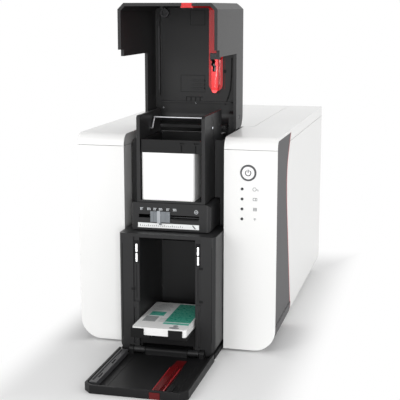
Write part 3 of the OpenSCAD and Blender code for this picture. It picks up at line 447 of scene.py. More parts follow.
class Sketch:
    """Builds one piece from small solids, then finishes it and hands it to the frame."""

    def __init__(self, bench: Bench, facing: Facing = Facing.FRONT) -> None:
        """Starts an empty piece on the bench, with the way that its flat marks look."""
        self.bench = bench
        self.facing = facing
        self.mesh = bmesh.new()

    def basis(self, centre: Vector, turn: float = 0.0) -> Matrix:
        """Placing matrix whose Z looks along the facing's normal.

        Args:
            centre: origin of the placed shape, m.
            turn: turn in its own plane, radians.

        Returns:
            The 4 x 4 matrix.
        """
        right, up = self.facing.value
        axes = Matrix((right, up, self.facing.normal)).transposed().to_4x4()
        return Matrix.Translation(centre) @ axes @ Matrix.Rotation(turn, 4, "Z")

    def slab(self, low: Vector, high: Vector) -> None:
        """Adds a straight block between two corners."""
        place = Matrix.Translation((low + high) / 2) @ Matrix.Diagonal((*(high - low), 1.0))
        bmesh.ops.create_cube(self.mesh, size=1.0, matrix=place)

    def patch(
        self, centre: Vector, width: float, height: float, depth: float = INK_T, turn: float = 0.0
    ) -> None:
        """Adds a thin rectangle that stands depth off its face.

        Args:
            centre: middle of its underside, m.
            width: size to the right, mm.
            height: size upwards, mm.
            depth: thickness, mm.
            turn: turn in its plane, radians.
        """
        place = self.basis(centre + self.facing.normal * depth * MM / 2, turn)
        size = Matrix.Diagonal((width * MM, height * MM, depth * MM, 1.0))
        bmesh.ops.create_cube(self.mesh, size=1.0, matrix=place @ size)

    def disc(self, centre: Vector, radius: float, depth: float = INK_T, squash: float = 1.0) -> None:
        """Adds a thin disc, squashed upwards if asked.

        Args:
            centre: middle of its underside, m.
            radius: radius, mm.
            depth: thickness, mm.
            squash: height over width.
        """
        place = self.basis(centre + self.facing.normal * depth * MM / 2)
        bmesh.ops.create_cone(
            self.mesh, cap_ends=True, segments=DISC_SIDES, radius1=radius * MM, radius2=radius * MM,
            depth=depth * MM, matrix=place @ Matrix.Diagonal((1.0, squash, 1.0, 1.0)))

    def arc(
        self, centre: Vector, radius: float, width: float, start: float = 0.0, sweep: float = 360.0,
        depth: float = INK_T,
    ) -> None:
        """Spins a small rectangle into a ring or part of one.

        Args:
            centre: middle of the ring's underside, m.
            radius: radius of its middle line, mm.
            width: width of the line, mm.
            start: first angle, degrees from the right.
            sweep: angle covered, degrees.
            depth: thickness, mm.
        """
        inner, outer = (radius - width / 2) * MM, (radius + width / 2) * MM
        corners = [(inner, 0.0), (outer, 0.0), (outer, depth * MM), (inner, depth * MM)]
        first = Matrix.Rotation(math.radians(start), 4, "Z")
        before = set(self.mesh.verts)
        verts = [self.mesh.verts.new(first @ Vector((reach, 0, rise))) for reach, rise in corners]
        edges = [self.mesh.edges.new((verts[i - 1], verts[i])) for i in (1, 2, 3, 0)]
        full = sweep >= 360
        caps = [] if full else [self.mesh.faces.new(verts)]
        result = bmesh.ops.spin(
            self.mesh, geom=verts + edges, cent=(0, 0, 0), axis=(0, 0, 1), angle=math.radians(sweep),
            steps=max(ARC_MIN_STEPS, int(sweep / ARC_STEP_DEG)), use_merge=full)
        if caps:
            last = [v for v in result["geom_last"] if isinstance(v, bmesh.types.BMVert)]
            bmesh.ops.contextual_create(self.mesh, geom=last)
        made = [v for v in self.mesh.verts if v not in before]
        bmesh.ops.transform(self.mesh, matrix=self.basis(centre), verts=made)

    def line(self, points: Sequence[Vector], width: float, depth: float = INK_T) -> None:
        """Adds a drawn line of straight strokes.

        Args:
            points: its corners, m.
            width: width of the stroke, mm.
            depth: thickness, mm.
        """
        right, up = self.facing.value
        for a, b in zip(points, points[1:]):
            run = b - a
            turn = math.atan2(run.dot(up), run.dot(right))
            self.patch((a + b) / 2, run.length / MM + width * STROKE_JOINT, width, depth, turn)

    def trace(self, y: float, corners: Sequence[Pair], width: float, depth: float) -> None:
        """Adds a drawn line at one depth on the bench, from its corners' X and Z in mm."""
        self.line([self.bench.at(x, y, z) for x, z in corners], width, depth)

    def finish(self, name: str, finish: str, part: Part, slot: str, edge: float = 0.0) -> None:
        """Makes the object, dresses it and lets it ride.

        Args:
            name: the piece's name.
            finish: name of its finish.
            part: body that it rides on.
            slot: the record's material slot; not used.
            edge: width of its edge bevel, mm.
        """
        bmesh.ops.remove_doubles(self.mesh, verts=self.mesh.verts, dist=MERGE_DIST)
        bmesh.ops.recalc_face_normals(self.mesh, faces=self.mesh.faces)
        data = bpy.data.meshes.new(name)
        self.mesh.to_mesh(data)
        self.mesh.free()
        piece = bpy.data.objects.new(name, data)
        bpy.context.scene.collection.objects.link(piece)
        data.materials.append(self.bench.finishes.get(finish))
        if edge:
            soften(piece, edge, weld=False)
        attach(piece, part.value)
        LOG.info("piece %s rides on %s", name, part.value)


def soften(piece: bpy.types.Object, width: float, weld: bool = True) -> None:
    """Rounds the sharp edges that a mould would round.

    Args:
        piece: object to round.
        width: width of the rounding, mm.
        weld: whether loose triangles are joined first.
    """
    if weld:
        piece.modifiers.new("weld", "WELD").merge_threshold = WELD_DIST
    bevel = piece.modifiers.new("edges", "BEVEL")
    bevel.width = width * MM
    bevel.segments = 2
    bevel.limit_method = "ANGLE"
    bevel.angle_limit = math.radians(SHARP_DEG)
    bevel.miter_outer = "MITER_ARC"
    piece.modifiers.new("normals", "WEIGHTED_NORMAL").keep_sharp = True
    for polygon in piece.data.polygons:
        polygon.use_smooth = True


@dataclass
class FrameDress:
    """Gives each solid of the frame its finish and its moulded edges."""

    bench: Bench
    frame: dict[str, Any]
    own_finish: dict[str, str] = field(default_factory=lambda: {
        "right_side_band": "side_band", "left_side_band": "side_band", "button_bezel": "ring_grey",
        "power_button": "button_white", "status_light_pipes": "dark_lens", "gauge_slider": "slider_grey",
        "tower_wire": "wire_steel", "door_hinge_pin": "dark_steel",
        "gauge_label": "card_white", "blank_cards": "blank_stack", "printed_cards": "printed_stack",
        "door_red_window": "clear_red_dim", "card_tray": "deep_black", "card_weight": "dark_abs",
        "door": "dark_abs", "hopper_guides": "black_abs",
    })
    edge_mm: dict[str, float] = field(default_factory=lambda: {
        "left_side_shell": 1.2, "right_side_shell": 1.2, "left_top_cover": 1.4, "right_top_cover": 1.4,
        "ribbon_cover": 1.0, "lid": 0.5, "door": 0.4, "door_rail": 0.4, "hopper_box": 0.4,
        "hopper_guides": 0.3, "gauge_housing": 0.4, "feeder_tower": 0.35, "bay_liner": 0.35,
        "gauge_slider": 0.25, "card_tray": 0.3, "card_weight": 0.3,
    })

    def dress(self) -> None:
        """Assigns each node its own finish or its slot's, and rounds the moulded pieces."""
        slots = {s["node"]: s["material_slot"] for s in self.frame["record"]["subparts"]}
        for name, node in self.frame["nodes"].items():
            material = self.bench.finishes.get(self.own_finish.get(name, slots[name]))
            if not node.material_slots:
                node.data.materials.append(material)
            for material_slot in node.material_slots:
                material_slot.material = material
            if name in self.edge_mm:
                soften(node, self.edge_mm[name])
        LOG.info("frame nodes dressed: %d", len(self.frame["nodes"]))


@dataclass
class ControlPanel:
    """Power symbol and the small grey pictograms beside the four lights."""

    bench: Bench
    symbol_r: float = 2.7
    symbol_gap_deg: float = 64.0
    stroke: float = 0.85
    bar_rise: float = 1.9
    bar_tall: float = 3.0
    light_count: int = 4
    light_d: float = 4.8
    icon_x: float = 80.8
    icon_stroke: float = 0.52
    drop_x: float = -0.6
    drop_r: float = 1.7
    drop_sheet: Sequence[Pair] = ((1.0, -0.2), (2.9, -0.4), (2.9, -1.6))
    level_bars: Sequence[tuple[int, float, float]] = (  # number of the light, rise and length
        (1, 1.2, 3.8), (1, -1.2, 3.8), (2, 1.3, 3.6), (2, 0.0, 3.6), (2, -1.3, 3.6))
    upright_bars: Sequence[tuple[int, float, float]] = (  # number of the light, shift to the right and length
        (1, -1.9, 2.6), (1, 1.9, 2.6), (1, 0.4, 2.6), (2, -1.4, 3.2), (2, 0.0, 3.2), (2, 1.4, 3.2))
    wave_low: float = -0.9
    wave_r: Sequence[float] = (0.9, 1.8)
    wave_dot_r: float = 0.35

    def build(self) -> None:
        """Draws both sets of marks on the right panel."""
        self.power_symbol()
        self.pictograms()

    def power_symbol(self) -> None:
        """Broken ring with an upright bar, on the button."""
        low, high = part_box("power_button")
        face = Vector(((low.x + high.x) / 2, low.y - SIT * MM, (low.z + high.z) / 2))
        sketch = Sketch(self.bench)
        sketch.arc(face, self.symbol_r, self.stroke, 90 + self.symbol_gap_deg / 2, 360 - self.symbol_gap_deg)
        sketch.patch(face + mm(0, 0, self.bar_rise), self.stroke, self.bar_tall)
        sketch.finish("power_symbol", "ink_dark", Part.BUTTON, "grey_abs")

    def pictograms(self) -> None:
        """Drop and sheet, card, cleaning grid and fan of waves, each beside its light."""
        low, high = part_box("status_light_pipes")
        pitch = (high.z - low.z - self.light_d * MM) / (self.light_count - 1)
        top = high.z - self.light_d / 2 * MM
        face = self.bench.front_y - SIT * MM
        spots = [Vector((self.icon_x * MM, face, top - i * pitch)) for i in range(self.light_count)]
        thin = self.icon_stroke
        sketch = Sketch(self.bench)
        sketch.arc(spots[0] + mm(self.drop_x, 0, 0), self.drop_r, thin)
        sketch.line([spots[0] + mm(x, 0, z) for x, z in self.drop_sheet], thin)
        for light, rise, length in self.level_bars:
            sketch.patch(spots[light] + mm(0, 0, rise), length, thin)
        for light, shift, length in self.upright_bars:
            sketch.patch(spots[light] + mm(shift, 0, 0), thin, length)
        source = spots[3] + mm(0, 0, self.wave_low)
        for radius in self.wave_r:
            sketch.arc(source, radius, thin, start=45, sweep=90)
        sketch.disc(source, self.wave_dot_r)
        sketch.finish("light_pictograms", "ink_grey", Part.CHASSIS, "light_grey")


@dataclass
class BandFootAndShade:
    """Carries the dark band and its red line down over the rounded lower edge of each side; the dark skin
    there is partly the band and partly painted shade.
    """

    bench: Bench
    front_y: float = 1.6
    back_y: float = 96.0
    line_w: float = 1.6
    round_r: float = 22.0
    sweep_deg: float = 62.0
    skin: float = 0.4
    flat: float = 3.3

    def build(self) -> None:
        """Adds the two dark feet, partly band and partly painted shade, and the red line's two ends."""
        dark, red = Sketch(self.bench), Sketch(self.bench)
        for side in (-1, 1):
            self.wrap(dark, side, self.front_y, self.back_y)
            self.wrap(red, side, self.back_y, self.back_y + self.line_w)
        # dark skin over the underside rounding: partly the band, partly painted shade
        dark.finish("band_feet_and_painted_shade", "side_band", Part.CHASSIS, "grey_abs")
        red.finish("accent_ends", "accent_red", Part.CHASSIS, "accent_red")

    def wrap(self, sketch: Sketch, side: int, front: float, back: float) -> None:
        """Adds a thin skin that runs down a side and in over its rounded edge.

        Args:
            sketch: piece that it belongs to.
            side: -1 on the left and 1 on the right.
            front: its front end behind the panels' plane, mm.
            back: its back end, mm.
        """
        low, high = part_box("right_side_shell")
        turn_x = side * (high.x / MM - self.round_r)
        turn_z = low.z / MM + self.round_r
        reaches = (self.round_r - self.skin / 2, self.round_r + self.skin / 2)
        near, far = sorted(turn_x + side * reach for reach in reaches)
        sketch.slab(self.bench.at(near, front, turn_z), self.bench.at(far, back, turn_z + self.flat))
        start = -self.sweep_deg if side > 0 else 180
        sketch.arc(self.bench.at(turn_x, back, turn_z), self.round_r, self.skin, start,
                   self.sweep_deg, back - front)


@dataclass
class GaugeMarks:
    """Printed marks of the card thickness gauge, below the blank cards."""

    bench: Bench
    icons_x: Sequence[float] = (-29.8, -22.5, -16.1, -10.5, -2.9, 3.9)
    icons_z: float = 146.2
    icon_bar: Triple = (0.9, 3.2, 0.5)  # rise, width and height
    icon_tooth: Triple = (-0.4, 0.6, 1.7)
    tooth_first: float = -0.8  # place of the first tooth, in pitches
    tooth_pitch: float = 1.3
    ring_at: Pair = (25.9, 145.0)
    ring_size: Pair = (1.7, 0.5)  # radius and width
    ring_tick: Sequence[Pair] = ((-0.7, 0.0), (0.0, -0.6), (1.1, 1.0))
    ring_tick_w: float = 0.45
    groove_at: Pair = (15.25, 136.5)
    groove_size: Triple = (25.5, 1.1, 0.08)  # width, height and thickness
    rail_low: Triple = (-1.5, -12.5, 137.3)
    rail_high: Triple = (28.0, -12.0, 138.3)
    rib_x: float = -11.7
    rib_w: float = 3.3
    rib_t: float = 0.9
    rib_gap: float = 0.4  # from the label's top to the rib's foot
    rib_over: float = 0.8  # how far the rib rises past the slider
    tick_count: int = 22
    tick_first: float = 2.5
    tick_pitch: float = 2.05
    tick_w: float = 0.4
    tick_low: float = -0.9
    tick_tall: Pair = (1.0, 1.8)
    long_every: int = 4
    hook_inset: float = 5.0
    hook: Sequence[Pair] = ((-1.4, 1.6), (0.0, 0.0), (1.3, -1.5))
    hook_w: float = 0.9

    def build(self) -> None:
        """Draws the row of icons, the scale, the groove, the rail and the slider's rib."""
        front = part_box("gauge_housing")[0].y - SIT * MM
        self.icons(front)
        self.scale_marks()
        dark = Sketch(self.bench)
        dark.patch(Vector((self.groove_at[0] * MM, front, self.groove_at[1] * MM)), *self.groove_size)
        dark.finish("gauge_grooves", "deep_black", Part.CHASSIS, "black_abs")
        rail = Sketch(self.bench)
        rail.slab(self.bench.at(*self.rail_low), self.bench.at(*self.rail_high))
        rail.finish("gauge_rail", "grey_abs", Part.CHASSIS, "grey_abs")
        self.slider_rib()

    def icons(self, front: float) -> None:
        """Draws the small comb-like icons and the ring with its tick.

        Args:
            front: plane that they lie on, m.
        """
        pale = Sketch(self.bench)
        rise, width, height = self.icon_bar
        tooth_rise, tooth_w, tooth_h = self.icon_tooth
        for i, x in enumerate(self.icons_x):
            spot = Vector((x * MM, front, self.icons_z * MM))
            pale.patch(spot + mm(0, 0, rise), width, height)
            for k in range(2 + i % 2):
                shift = mm((k + self.tooth_first) * self.tooth_pitch, 0, tooth_rise)
                pale.patch(spot + shift, tooth_w, tooth_h)
        ring = Vector((self.ring_at[0] * MM, front, self.ring_at[1] * MM))
        pale.arc(ring, *self.ring_size)
        pale.line([ring + mm(x, 0, z) for x, z in self.ring_tick], self.ring_tick_w)
        pale.finish("gauge_icons", "ink_pale", Part.CHASSIS, "light_grey")

    def slider_rib(self) -> None:
        """Raised grip down the middle of the slider."""
        low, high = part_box("gauge_slider")
        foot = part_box("gauge_label")[1].z + self.rib_gap * MM
        tall = (high.z - foot) / MM + self.rib_over
        sketch = Sketch(self.bench)
        spot = Vector((self.rib_x * MM, low.y - SIT * MM, foot + tall / 2 * MM))
        sketch.patch(spot, self.rib_w, tall, self.rib_t)
        sketch.finish("slider_rib", "light_grey", Part.SLIDER, "light_grey", edge=0.3)

    def scale_marks(self) -> None:
        """Ticks of the thickness scale and the hook at its right end."""
        low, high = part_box("gauge_label")
        face = low.y - SIT * MM
        middle = (low.z + high.z) / 2
        sketch = Sketch(self.bench)
        for i in range(self.tick_count):
            tall = self.tick_tall[i % self.long_every == 0]
            right = low.x + (self.tick_first + i * self.tick_pitch) * MM
            spot = Vector((right, face, middle + (tall / 2 + self.tick_low) * MM))
            sketch.patch(spot, self.tick_w, tall)
        hook = Vector((high.x - self.hook_inset * MM, face, middle))
        sketch.line([hook + mm(x, 0, z) for x, z in self.hook], self.hook_w)
        sketch.finish("gauge_scale", "ink_dark", Part.CHASSIS, "grey_abs")


@dataclass
class TowerTrim:
    """Two upright grooves and a bright pin, on the tower's right outer wall."""

    bench: Bench
    pin_y: float = 12.0
    pin_z: float = 224.6
    pin_size: Triple = (0.9, 1.2, 1.8)  # radius, thickness and squash
    grooves: Sequence[tuple[Pair, Triple]] = (((0.0, 5.5), (1.0, 12.0, 0.1)), ((7.0, -6.0), (0.8, 26.0, 0.1)))

    def build(self) -> None:
        """Adds the grooves, which are placed from the pin, and the pin."""
        spot = self.bench.at(0, self.pin_y, self.pin_z)
        spot.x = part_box("feeder_tower")[1].x + SIT * MM
        groove = Sketch(self.bench, Facing.RIGHT)
        for (back, rise), size in self.grooves:
            groove.patch(spot + mm(0, back, rise), *size)
        groove.finish("tower_groove", "deep_black", Part.CHASSIS, "black_abs")
        pin = Sketch(self.bench, Facing.RIGHT)
        pin.disc(spot, *self.pin_size)
        pin.finish("tower_pin", "steel", Part.CHASSIS, "steel", edge=0.25)


@dataclass
class HopperTrim:
    """Moulded lines, notches, a dark block of painted shadow under the hopper, and split light strips on the
    hopper's front frame.
    """

    bench: Bench
    frame_y: float = -33.5
    notches: Sequence[Pair] = ((-34.6, 68.0), (34.6, 92.5), (34.6, 59.0))
    notch_size: Triple = (3.8, 2.4, 0.15)  # width, height and thickness, as in the sizes below
    seam_inset: float = 3.4
    seam_z: float = 66.0
    seam_size: Triple = (0.5, 96.0, 0.08)
    sill_rise: float = 4.2
    sill_size: Triple = (78.0, 0.5, 0.08)
    # black block under the hopper, where there is only shade: painted shadow
    painted_shadow_low: Triple = (-48.2, -31.0, 0.8)
    painted_shadow_high: Triple = (48.2, 20.0, 6.0)
    light_inset: float = 0.7
    low_break_rise: float = 9.2
    low_break_size: Triple = (2.0, 1.4, 0.15)
    top_break_drop: float = 0.3
    top_break_size: Triple = (2.2, 3.2, 0.3)
    frame_shift: float = 1.7
    frame_set: float = 1.6
    frame_size: Triple = (1.0, 23.0, 0.2)

    def build(self) -> None:
        """Adds the notches, the frame's outline, the dark block of painted shadow under the hopper and the
        breaks in the light strips.
        """
        low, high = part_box("hopper_box")
        front = self.bench.at(0, self.frame_y, 0).y - SIT * MM
        dark = Sketch(self.bench)
        for x, z in self.notches:
            dark.patch(Vector((x * MM, front, z * MM)), *self.notch_size)
        inner = high.x - self.seam_inset * MM
        for side in (-1, 1):
            dark.patch(Vector((side * inner, front, self.seam_z * MM)), *self.seam_size)
        dark.patch(Vector((0, front, (low.z / MM + self.sill_rise) * MM)), *self.sill_size)
        dark.finish("hopper_lines", "deep_black", Part.CHASSIS, "black_abs")
        # black block that fills the gap under the hopper: painted shadow
        painted_shadow = Sketch(self.bench)
        painted_shadow.slab(self.bench.at(*self.painted_shadow_low), self.bench.at(*self.painted_shadow_high))
        painted_shadow.finish("hopper_painted_shadow", "deep_black", Part.CHASSIS, "black_abs", edge=0.3)
        self.light_breaks(front)

    def light_breaks(self, front: float) -> None:
        """Splits each light strip and frames it with two dark lines.

        Args:
            front: plane of the hopper's frame, m.
        """
        low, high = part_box("hopper_light_guides")
        face = low.y - SIT * MM
        breaks = Sketch(self.bench)
        for side in (-1, 1):
            x = side * (high.x - self.light_inset * MM)
            breaks.patch(Vector((x, face, low.z + self.low_break_rise * MM)), *self.low_break_size)
            breaks.patch(Vector((x, face, high.z - self.top_break_drop * MM)), *self.top_break_size)
            for shift in (-self.frame_shift, self.frame_shift):
                spot = Vector((x + shift * MM, front + self.frame_set * MM, (low.z + high.z) / 2))
                breaks.patch(spot, *self.frame_size)
        breaks.finish("light_breaks", "deep_black", Part.CHASSIS, "black_abs")


@dataclass
class PrintedFace:
    """Generic layout on the top card: plain blocks, rules and a placeholder figure."""

    bench: Bench
    field_t: float = 0.05
    figure_t: float = 0.06
    # Each field's name and finish, and its boxes: middle from the card's left front corner, and size.
    fields: Sequence[tuple[str, str, Sequence[Four]]] = (
        ("card_panel", "card_green", ((39.5, 52.0, 26.0, 60.0),)),
        ("card_block", "card_teal", ((13.0, 46.5, 15.0, 13.0), (39.5, 17.5, 26.0, 5.0))),
        ("card_photo_ground", "card_grey", ((10.5, 28.5, 13.0, 17.0),)),
    )
    # Blocks of rules: x, first y, pitch, number, length, height, and how much shorter the next of three is.
    rules: Sequence[tuple[float, float, float, int, float, float, float]] = (
        (13.5, 60.0, 3.6, 6, 18.0, 1.1, 3.0), (23.0, 22.0, 3.4, 4, 6.5, 0.9, 0.0))
    figure: Sequence[Four] = ((41.0, 10.8, 2.6, 1.0), (41.0, 4.6, 5.0, 0.6))  # x, y, radius and squash

    def build(self) -> None:
        """Lays the coloured fields, the rules and the figure on the top card."""
        for name, finish, boxes in self.fields:
            sketch = Sketch(self.bench, Facing.TOP)
            for x, y, width, height in boxes:
                sketch.patch(self.spot(x, y), width, height, self.field_t)
            sketch.finish(name, finish, Part.TRAY, "card_stock")
        lines = Sketch(self.bench, Facing.TOP)
        for x, first, pitch, number, length, height, step in self.rules:
            for i in range(number):
                lines.patch(self.spot(x, first + i * pitch), length - (i % 3) * step, height, self.field_t)
        lines.finish("card_rules", "card_grey", Part.TRAY, "card_stock")
        figure = Sketch(self.bench, Facing.TOP)
        for x, y, radius, squash in self.figure:
            figure.disc(self.spot(x, y), radius, self.figure_t, squash)
        figure.finish("card_figure", "ink_grey", Part.TRAY, "card_stock")

    @staticmethod
    def spot(x: float, y: float) -> Vector:
        """Point on the top card, x and y mm from its left front corner."""
        low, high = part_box("printed_cards")
        return Vector((low.x + x * MM, low.y + y * MM, high.z + SIT * MM))


@dataclass
class LidTrim:
    """Moulded lines, ribs and the light bar's painted highlight, inside the open lid."""

    bench: Bench
    plate_y: float = 90.5
    line_t: float = 0.2
    frames: Sequence[Four] = (  # left, low, right and high
        (-18.0, 253.4, 8.3, 271.0), (-7.5, 323.6, 8.2, 338.5))
    frame_w: float = 0.4
    ribs_x: Sequence[float] = (-12.0, -7.0, -2.0, 3.0)
    ribs_z: Pair = (241.5, 248.0)
    rib_w: float = 0.8
    bridge: Sequence[Pair] = ((-12.0, 248.0), (6.0, 248.0))
    bridge_w: float = 0.6
    rib_t: float = 0.6
    pins: Sequence[Four] = ((-1.6, 242.0, 0.7, 1.6), (-37.5, 236.0, 0.8, 1.0))  # x, z, radius and squash
    pin_t: float = 0.9
    bar_depth: float = 5.0  # how far the light bar stands before the plate
    # painted highlight down the light bar's middle: its x, low and high z, width and thickness, mm
    highlight_x: float = 20.0
    highlight_z: Pair = (256.0, 288.0)
    highlight_w: float = 6.0
    highlight_t: float = 0.6
    clip_at: Pair = (21.0, 291.5)
    clip_size: Triple = (11.5, 6.5, 1.6)
    slot_curve: Sequence[Pair] = ((17.8, 288.0), (19.4, 286.0), (18.4, 283.2), (19.8, 280.6), (19.6, 276.4))
    slot_w: float = 3.6
    slot_rise: float = 0.7
    slot_t: float = 0.15
    fill_shift: float = 0.8
    fill_rise: float = 0.9
    fill_w: float = 1.3
    glow_x: Sequence[float] = (27.6, 29.8)
    glow_z: Pair = (257.0, 289.0)
    glow_w: float = 0.7
    bent: Sequence[Pair] = ((37.6, 289.5), (37.1, 270.0), (36.1, 256.2), (33.6, 247.8), (30.6, 240.4))
    bent_w: float = 1.5
    knob_at: Triple = (30.1, -0.3, 275.5)  # its depth is from the plate
    knob_r: float = 1.5
    knob_squash: float = 1.3
    edge: Sequence[Pair] = ((-41.0, 256.0), (-41.0, 322.0))
    edge_rise: float = 4.0
    edge_w: float = 1.0
    edge_t: float = 0.15

    @property
    def face(self) -> float:
        """The plate's front behind the panels' plane, mm."""
        return self.plate_y - SIT

    def build(self) -> None:
        """Adds the plate's lines and pins, the light bar and the lines beside it."""
        self.plate_lines()
        glint = Sketch(self.bench)
        for x, z, radius, squash in self.pins:
            glint.disc(self.bench.at(x, self.face, z), radius, self.pin_t, squash)
        glint.finish("lid_pins", "steel", Part.LID, "steel", edge=0.2)
        self.light_bar()
        self.side_lines()

    def plate_lines(self) -> None:
        """Two moulded frames and four short ribs with their bridge."""
        lines = Sketch(self.bench)
        for left, low, right, high in self.frames:
            corners = [(left, low), (left, high), (right, high), (right, low), (left, low)]
            lines.trace(self.face, corners, self.frame_w, self.line_t)
        for x in self.ribs_x:
            lines.trace(self.face, [(x, z) for z in self.ribs_z], self.rib_w, self.rib_t)
        lines.trace(self.face, self.bridge, self.bridge_w, self.rib_t)
        lines.finish("lid_lines", "deep_black", Part.LID, "black_abs", edge=0.05)

    def light_bar(self) -> None:
        """Painted highlight, a bright rounded strip down the bar's middle that glows softly, the dark clip
        across its top and the curved slot in it.
        """
        front = (self.plate_y - self.bar_depth) - SIT
        low, high = self.highlight_z
        highlight = Sketch(self.bench)
        highlight.patch(self.bench.at(self.highlight_x, front, (low + high) / 2), self.highlight_w, high - low, self.highlight_t)
        highlight.disc(self.bench.at(self.highlight_x, front, low), self.highlight_w / 2, self.highlight_t)
        highlight.finish("light_bar_painted_highlight", "clear_red_painted_centre_highlight", Part.LID, "clear_red", edge=0.25)
        clip = Sketch(self.bench)
        clip.patch(self.bench.at(self.clip_at[0], front, self.clip_at[1]), *self.clip_size)
        clip.finish("light_bar_clip", "grey_abs", Part.LID, "grey_abs", edge=0.5)
        slot = Sketch(self.bench)
        slot.trace(front - self.slot_rise, self.slot_curve, self.slot_w, self.slot_t)
        slot.finish("light_bar_slot", "deep_black", Part.LID, "black_abs")
        fill = Sketch(self.bench)
        low_part = [(x + self.fill_shift, z) for x, z in self.slot_curve[2:]]
        fill.trace(front - self.fill_rise, low_part, self.fill_w, self.slot_t)
        fill.finish("light_bar_fill", "slider_grey", Part.LID, "grey_abs")

    def side_lines(self) -> None:
        """Red lines beside the bar, the bent edge on the right and the pale rib on the left."""
        glow = Sketch(self.bench)
        for x in self.glow_x:
            glow.trace(self.face, [(x, z) for z in self.glow_z], self.glow_w, self.line_t)
        glow.finish("lid_glow_lines", "clear_red_dim", Part.LID, "clear_red")
        edge = Sketch(self.bench)
        edge.trace(self.face, self.bent, self.bent_w, self.line_t)
        x, rise, z = self.knob_at
        edge.disc(self.bench.at(x, self.face + rise, z), self.knob_r, self.line_t, self.knob_squash)
        edge.finish("lid_bent_edge", "deep_black", Part.LID, "black_abs")
        rib = Sketch(self.bench)
        rib.trace(self.face - self.edge_rise, self.edge, self.edge_w, self.edge_t)
        rib.finish("lid_rib_edge", "grey_abs", Part.LID, "grey_abs")


@dataclass
class DoorTrim:
    """Painted highlights along the edges of the door's clear strip, and the lines of its pan."""

    bench: Bench
    pan_z: float = 2.5
    strip_rise: float = 1.5
    strip_inset: float = 0.9
    strip_forward: float = 10.0  # from the strip's middle to the lines' middle
    strip_short: float = 31.0  # how much shorter the lines are than the strip
    strip_w: float = 0.7
    strip_t: float = 0.12
    pan_lines_x: Pair = (-30.0, 36.0)
    pan_line_size: Triple = (0.5, 84.0, 0.1)

    def build(self) -> None:
        """Adds the two painted highlights along the strip's edges and the pan's lines."""
        low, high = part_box("door_red_window")
        length = (high.y - low.y) / MM - self.strip_short
        middle = (high.y + low.y) / 2 - self.strip_forward * MM
        top = (self.pan_z + self.strip_rise + SIT) * MM
        # bright red lines along the strip's edges: painted highlights
        edges = Sketch(self.bench, Facing.TOP)
        for x in (low.x + self.strip_inset * MM, high.x - self.strip_inset * MM):
            edges.patch(Vector((x, middle, top)), self.strip_w, length, self.strip_t)
        edges.finish("door_strip_painted_highlights", "clear_red_painted_edge_highlight", Part.DOOR, "clear_red")
        low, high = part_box("door")
        pan_lines = Sketch(self.bench, Facing.TOP)
        for x in self.pan_lines_x:
            spot = Vector((x * MM, (low.y + high.y) / 2, (self.pan_z + SIT) * MM))
            pan_lines.patch(spot, *self.pan_line_size)
        pan_lines.finish("door_lines", "deep_black", Part.DOOR, "black_abs")


@dataclass(frozen=True)
class Lamp:
    """A soft square lamp that looks at the printer."""

    name: str
    place: Triple  # m
    size: float  # side, m
    power: float  # W
    aim: Triple = (0.0, 0.0, 0.15)  # m

    def build(self) -> None:
        """Adds the lamp."""
        data = bpy.data.lights.new(self.name, "AREA")
        data.energy = self.power
        data.size = self.size
        lamp = bpy.data.objects.new(self.name, data)
        lamp.location = self.place
        look = Vector(self.aim) - Vector(self.place)
        lamp.rotation_euler = look.to_track_quat("-Z", "Y").to_euler()
        bpy.context.scene.collection.objects.link(lamp)


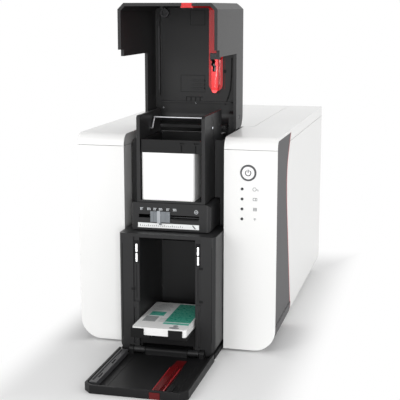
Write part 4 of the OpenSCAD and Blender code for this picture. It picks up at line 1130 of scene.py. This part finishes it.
@dataclass
class Studio:
    """Pale floor, soft light and the camera of the photograph."""

    bench: Bench
    lens_mm: float = 90.55
    sensor_mm: float = 36.0
    camera_at: Triple = (260.8, -952.6, 340.94)  # mm on the bench
    yaw_deg: float = 13.887
    pitch_deg: float = 10.789
    floor_half: float = 12.0  # m
    floor_colour: str = "#efefef"
    fade_range: Pair = (1.0, 1.5)  # the floor turns white between these multiples of the printer's box
    world_light: float = 0.55
    lamps: Sequence[Lamp] = (
        Lamp("key", (-0.95, -1.5, 0.85), 1.1, 9.5),
        Lamp("front", (1.0, -3.1, 0.45), 1.0, 41.0),
        Lamp("side", (2.7, -0.4, 1.3), 2.0, 15.0),
        Lamp("top", (0.3, 1.2, 2.6), 2.6, 17.0),
    )

    def build(self) -> None:
        """Makes the camera, the floor, the world and the lamps."""
        self.camera()
        self.floor()
        self.world()
        for lamp in self.lamps:
            lamp.build()

    def camera(self) -> None:
        """Camera fitted to the photograph."""
        data = bpy.data.cameras.new("camera")
        data.lens = self.lens_mm
        data.sensor_width = self.sensor_mm
        camera = bpy.data.objects.new("camera", data)
        camera.location = self.bench.at(*self.camera_at)
        camera.rotation_euler = (math.radians(90 - self.pitch_deg), 0.0, math.radians(self.yaw_deg))
        bpy.context.scene.collection.objects.link(camera)
        bpy.context.scene.camera = camera

    def floor(self) -> None:
        """Wide pale sheet that keeps the printer's shadow."""
        mesh = bmesh.new()
        bmesh.ops.create_grid(mesh, x_segments=1, y_segments=1, size=self.floor_half)
        data = bpy.data.meshes.new("floor")
        mesh.to_mesh(data)
        mesh.free()
        floor = bpy.data.objects.new("floor", data)
        bpy.context.scene.collection.objects.link(floor)
        floor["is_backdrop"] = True
        data.materials.append(self.sheet())

    def sheet(self) -> Material:
        """White sheet: it shades close to the printer and fades to plain white away from it.

        Returns:
            The floor's material.
        """
        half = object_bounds()[1]
        material, tree, coords = new_material("studio_sheet")
        place = add_node(tree, "ShaderNodeSeparateXYZ", {"Vector": coords})
        ratios = [
            add_math(tree, "ABSOLUTE", add_math(tree, "DIVIDE", place.outputs[axis], reach))
            for axis, reach in (("X", half[0]), ("Y", half[1]))]
        fade = add_node(tree, "ShaderNodeMapRange", {
            "Value": add_math(tree, "MAXIMUM", *ratios), "From Min": self.fade_range[0],
            "From Max": self.fade_range[1]}, interpolation_type="SMOOTHSTEP")
        share = add_math(tree, "MULTIPLY", backdrop_rays(tree), fade.outputs["Result"])
        diffuse = add_node(tree, "ShaderNodeBsdfDiffuse", {"Color": linear(self.floor_colour)})
        white = add_node(tree, "ShaderNodeEmission", {"Color": WHITE, "Strength": 1.0})
        mixed = add_node(tree, "ShaderNodeMixShader", {
            0: share, 1: diffuse.outputs[0], 2: white.outputs[0]})
        add_node(tree, "ShaderNodeOutputMaterial", {"Surface": mixed.outputs[0]})
        return material

    def world(self) -> None:
        """Even surround: plain white as a backdrop, and dimmer as light."""
        world = bpy.data.worlds.new("studio")
        bpy.context.scene.world = world
        world.use_nodes = True
        tree = world.node_tree
        tree.nodes.clear()
        light = add_node(tree, "ShaderNodeBackground", {"Color": WHITE, "Strength": self.world_light})
        seen = add_node(tree, "ShaderNodeBackground", {"Color": WHITE, "Strength": 1.0})
        mixed = add_node(tree, "ShaderNodeMixShader", {
            0: backdrop_rays(tree), 1: light.outputs[0], 2: seen.outputs[0]})
        add_node(tree, "ShaderNodeOutputWorld", {"Surface": mixed.outputs[0]})


def main() -> None:
    """Builds the printer's looks in order."""
    logging.basicConfig(level=logging.INFO, format="%(message)s")
    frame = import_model()
    finishes = Finishes()
    finishes.build(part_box("blank_cards")[0].z / MM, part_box("printed_cards")[0].z / MM)
    bench = Bench(finishes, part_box("right_side_shell")[0].y)
    Studio(bench).build()
    FrameDress(bench, frame).dress()
    sections = (ControlPanel, BandFootAndShade, GaugeMarks, TowerTrim, HopperTrim, PrintedFace, LidTrim, DoorTrim)
    for section in sections:
        section(bench).build()
        LOG.info("built %s", section.__name__)
    bpy.context.scene.view_settings.view_transform = "Standard"
    bpy.context.view_layer.update()


if __name__ == "__main__":
    main()
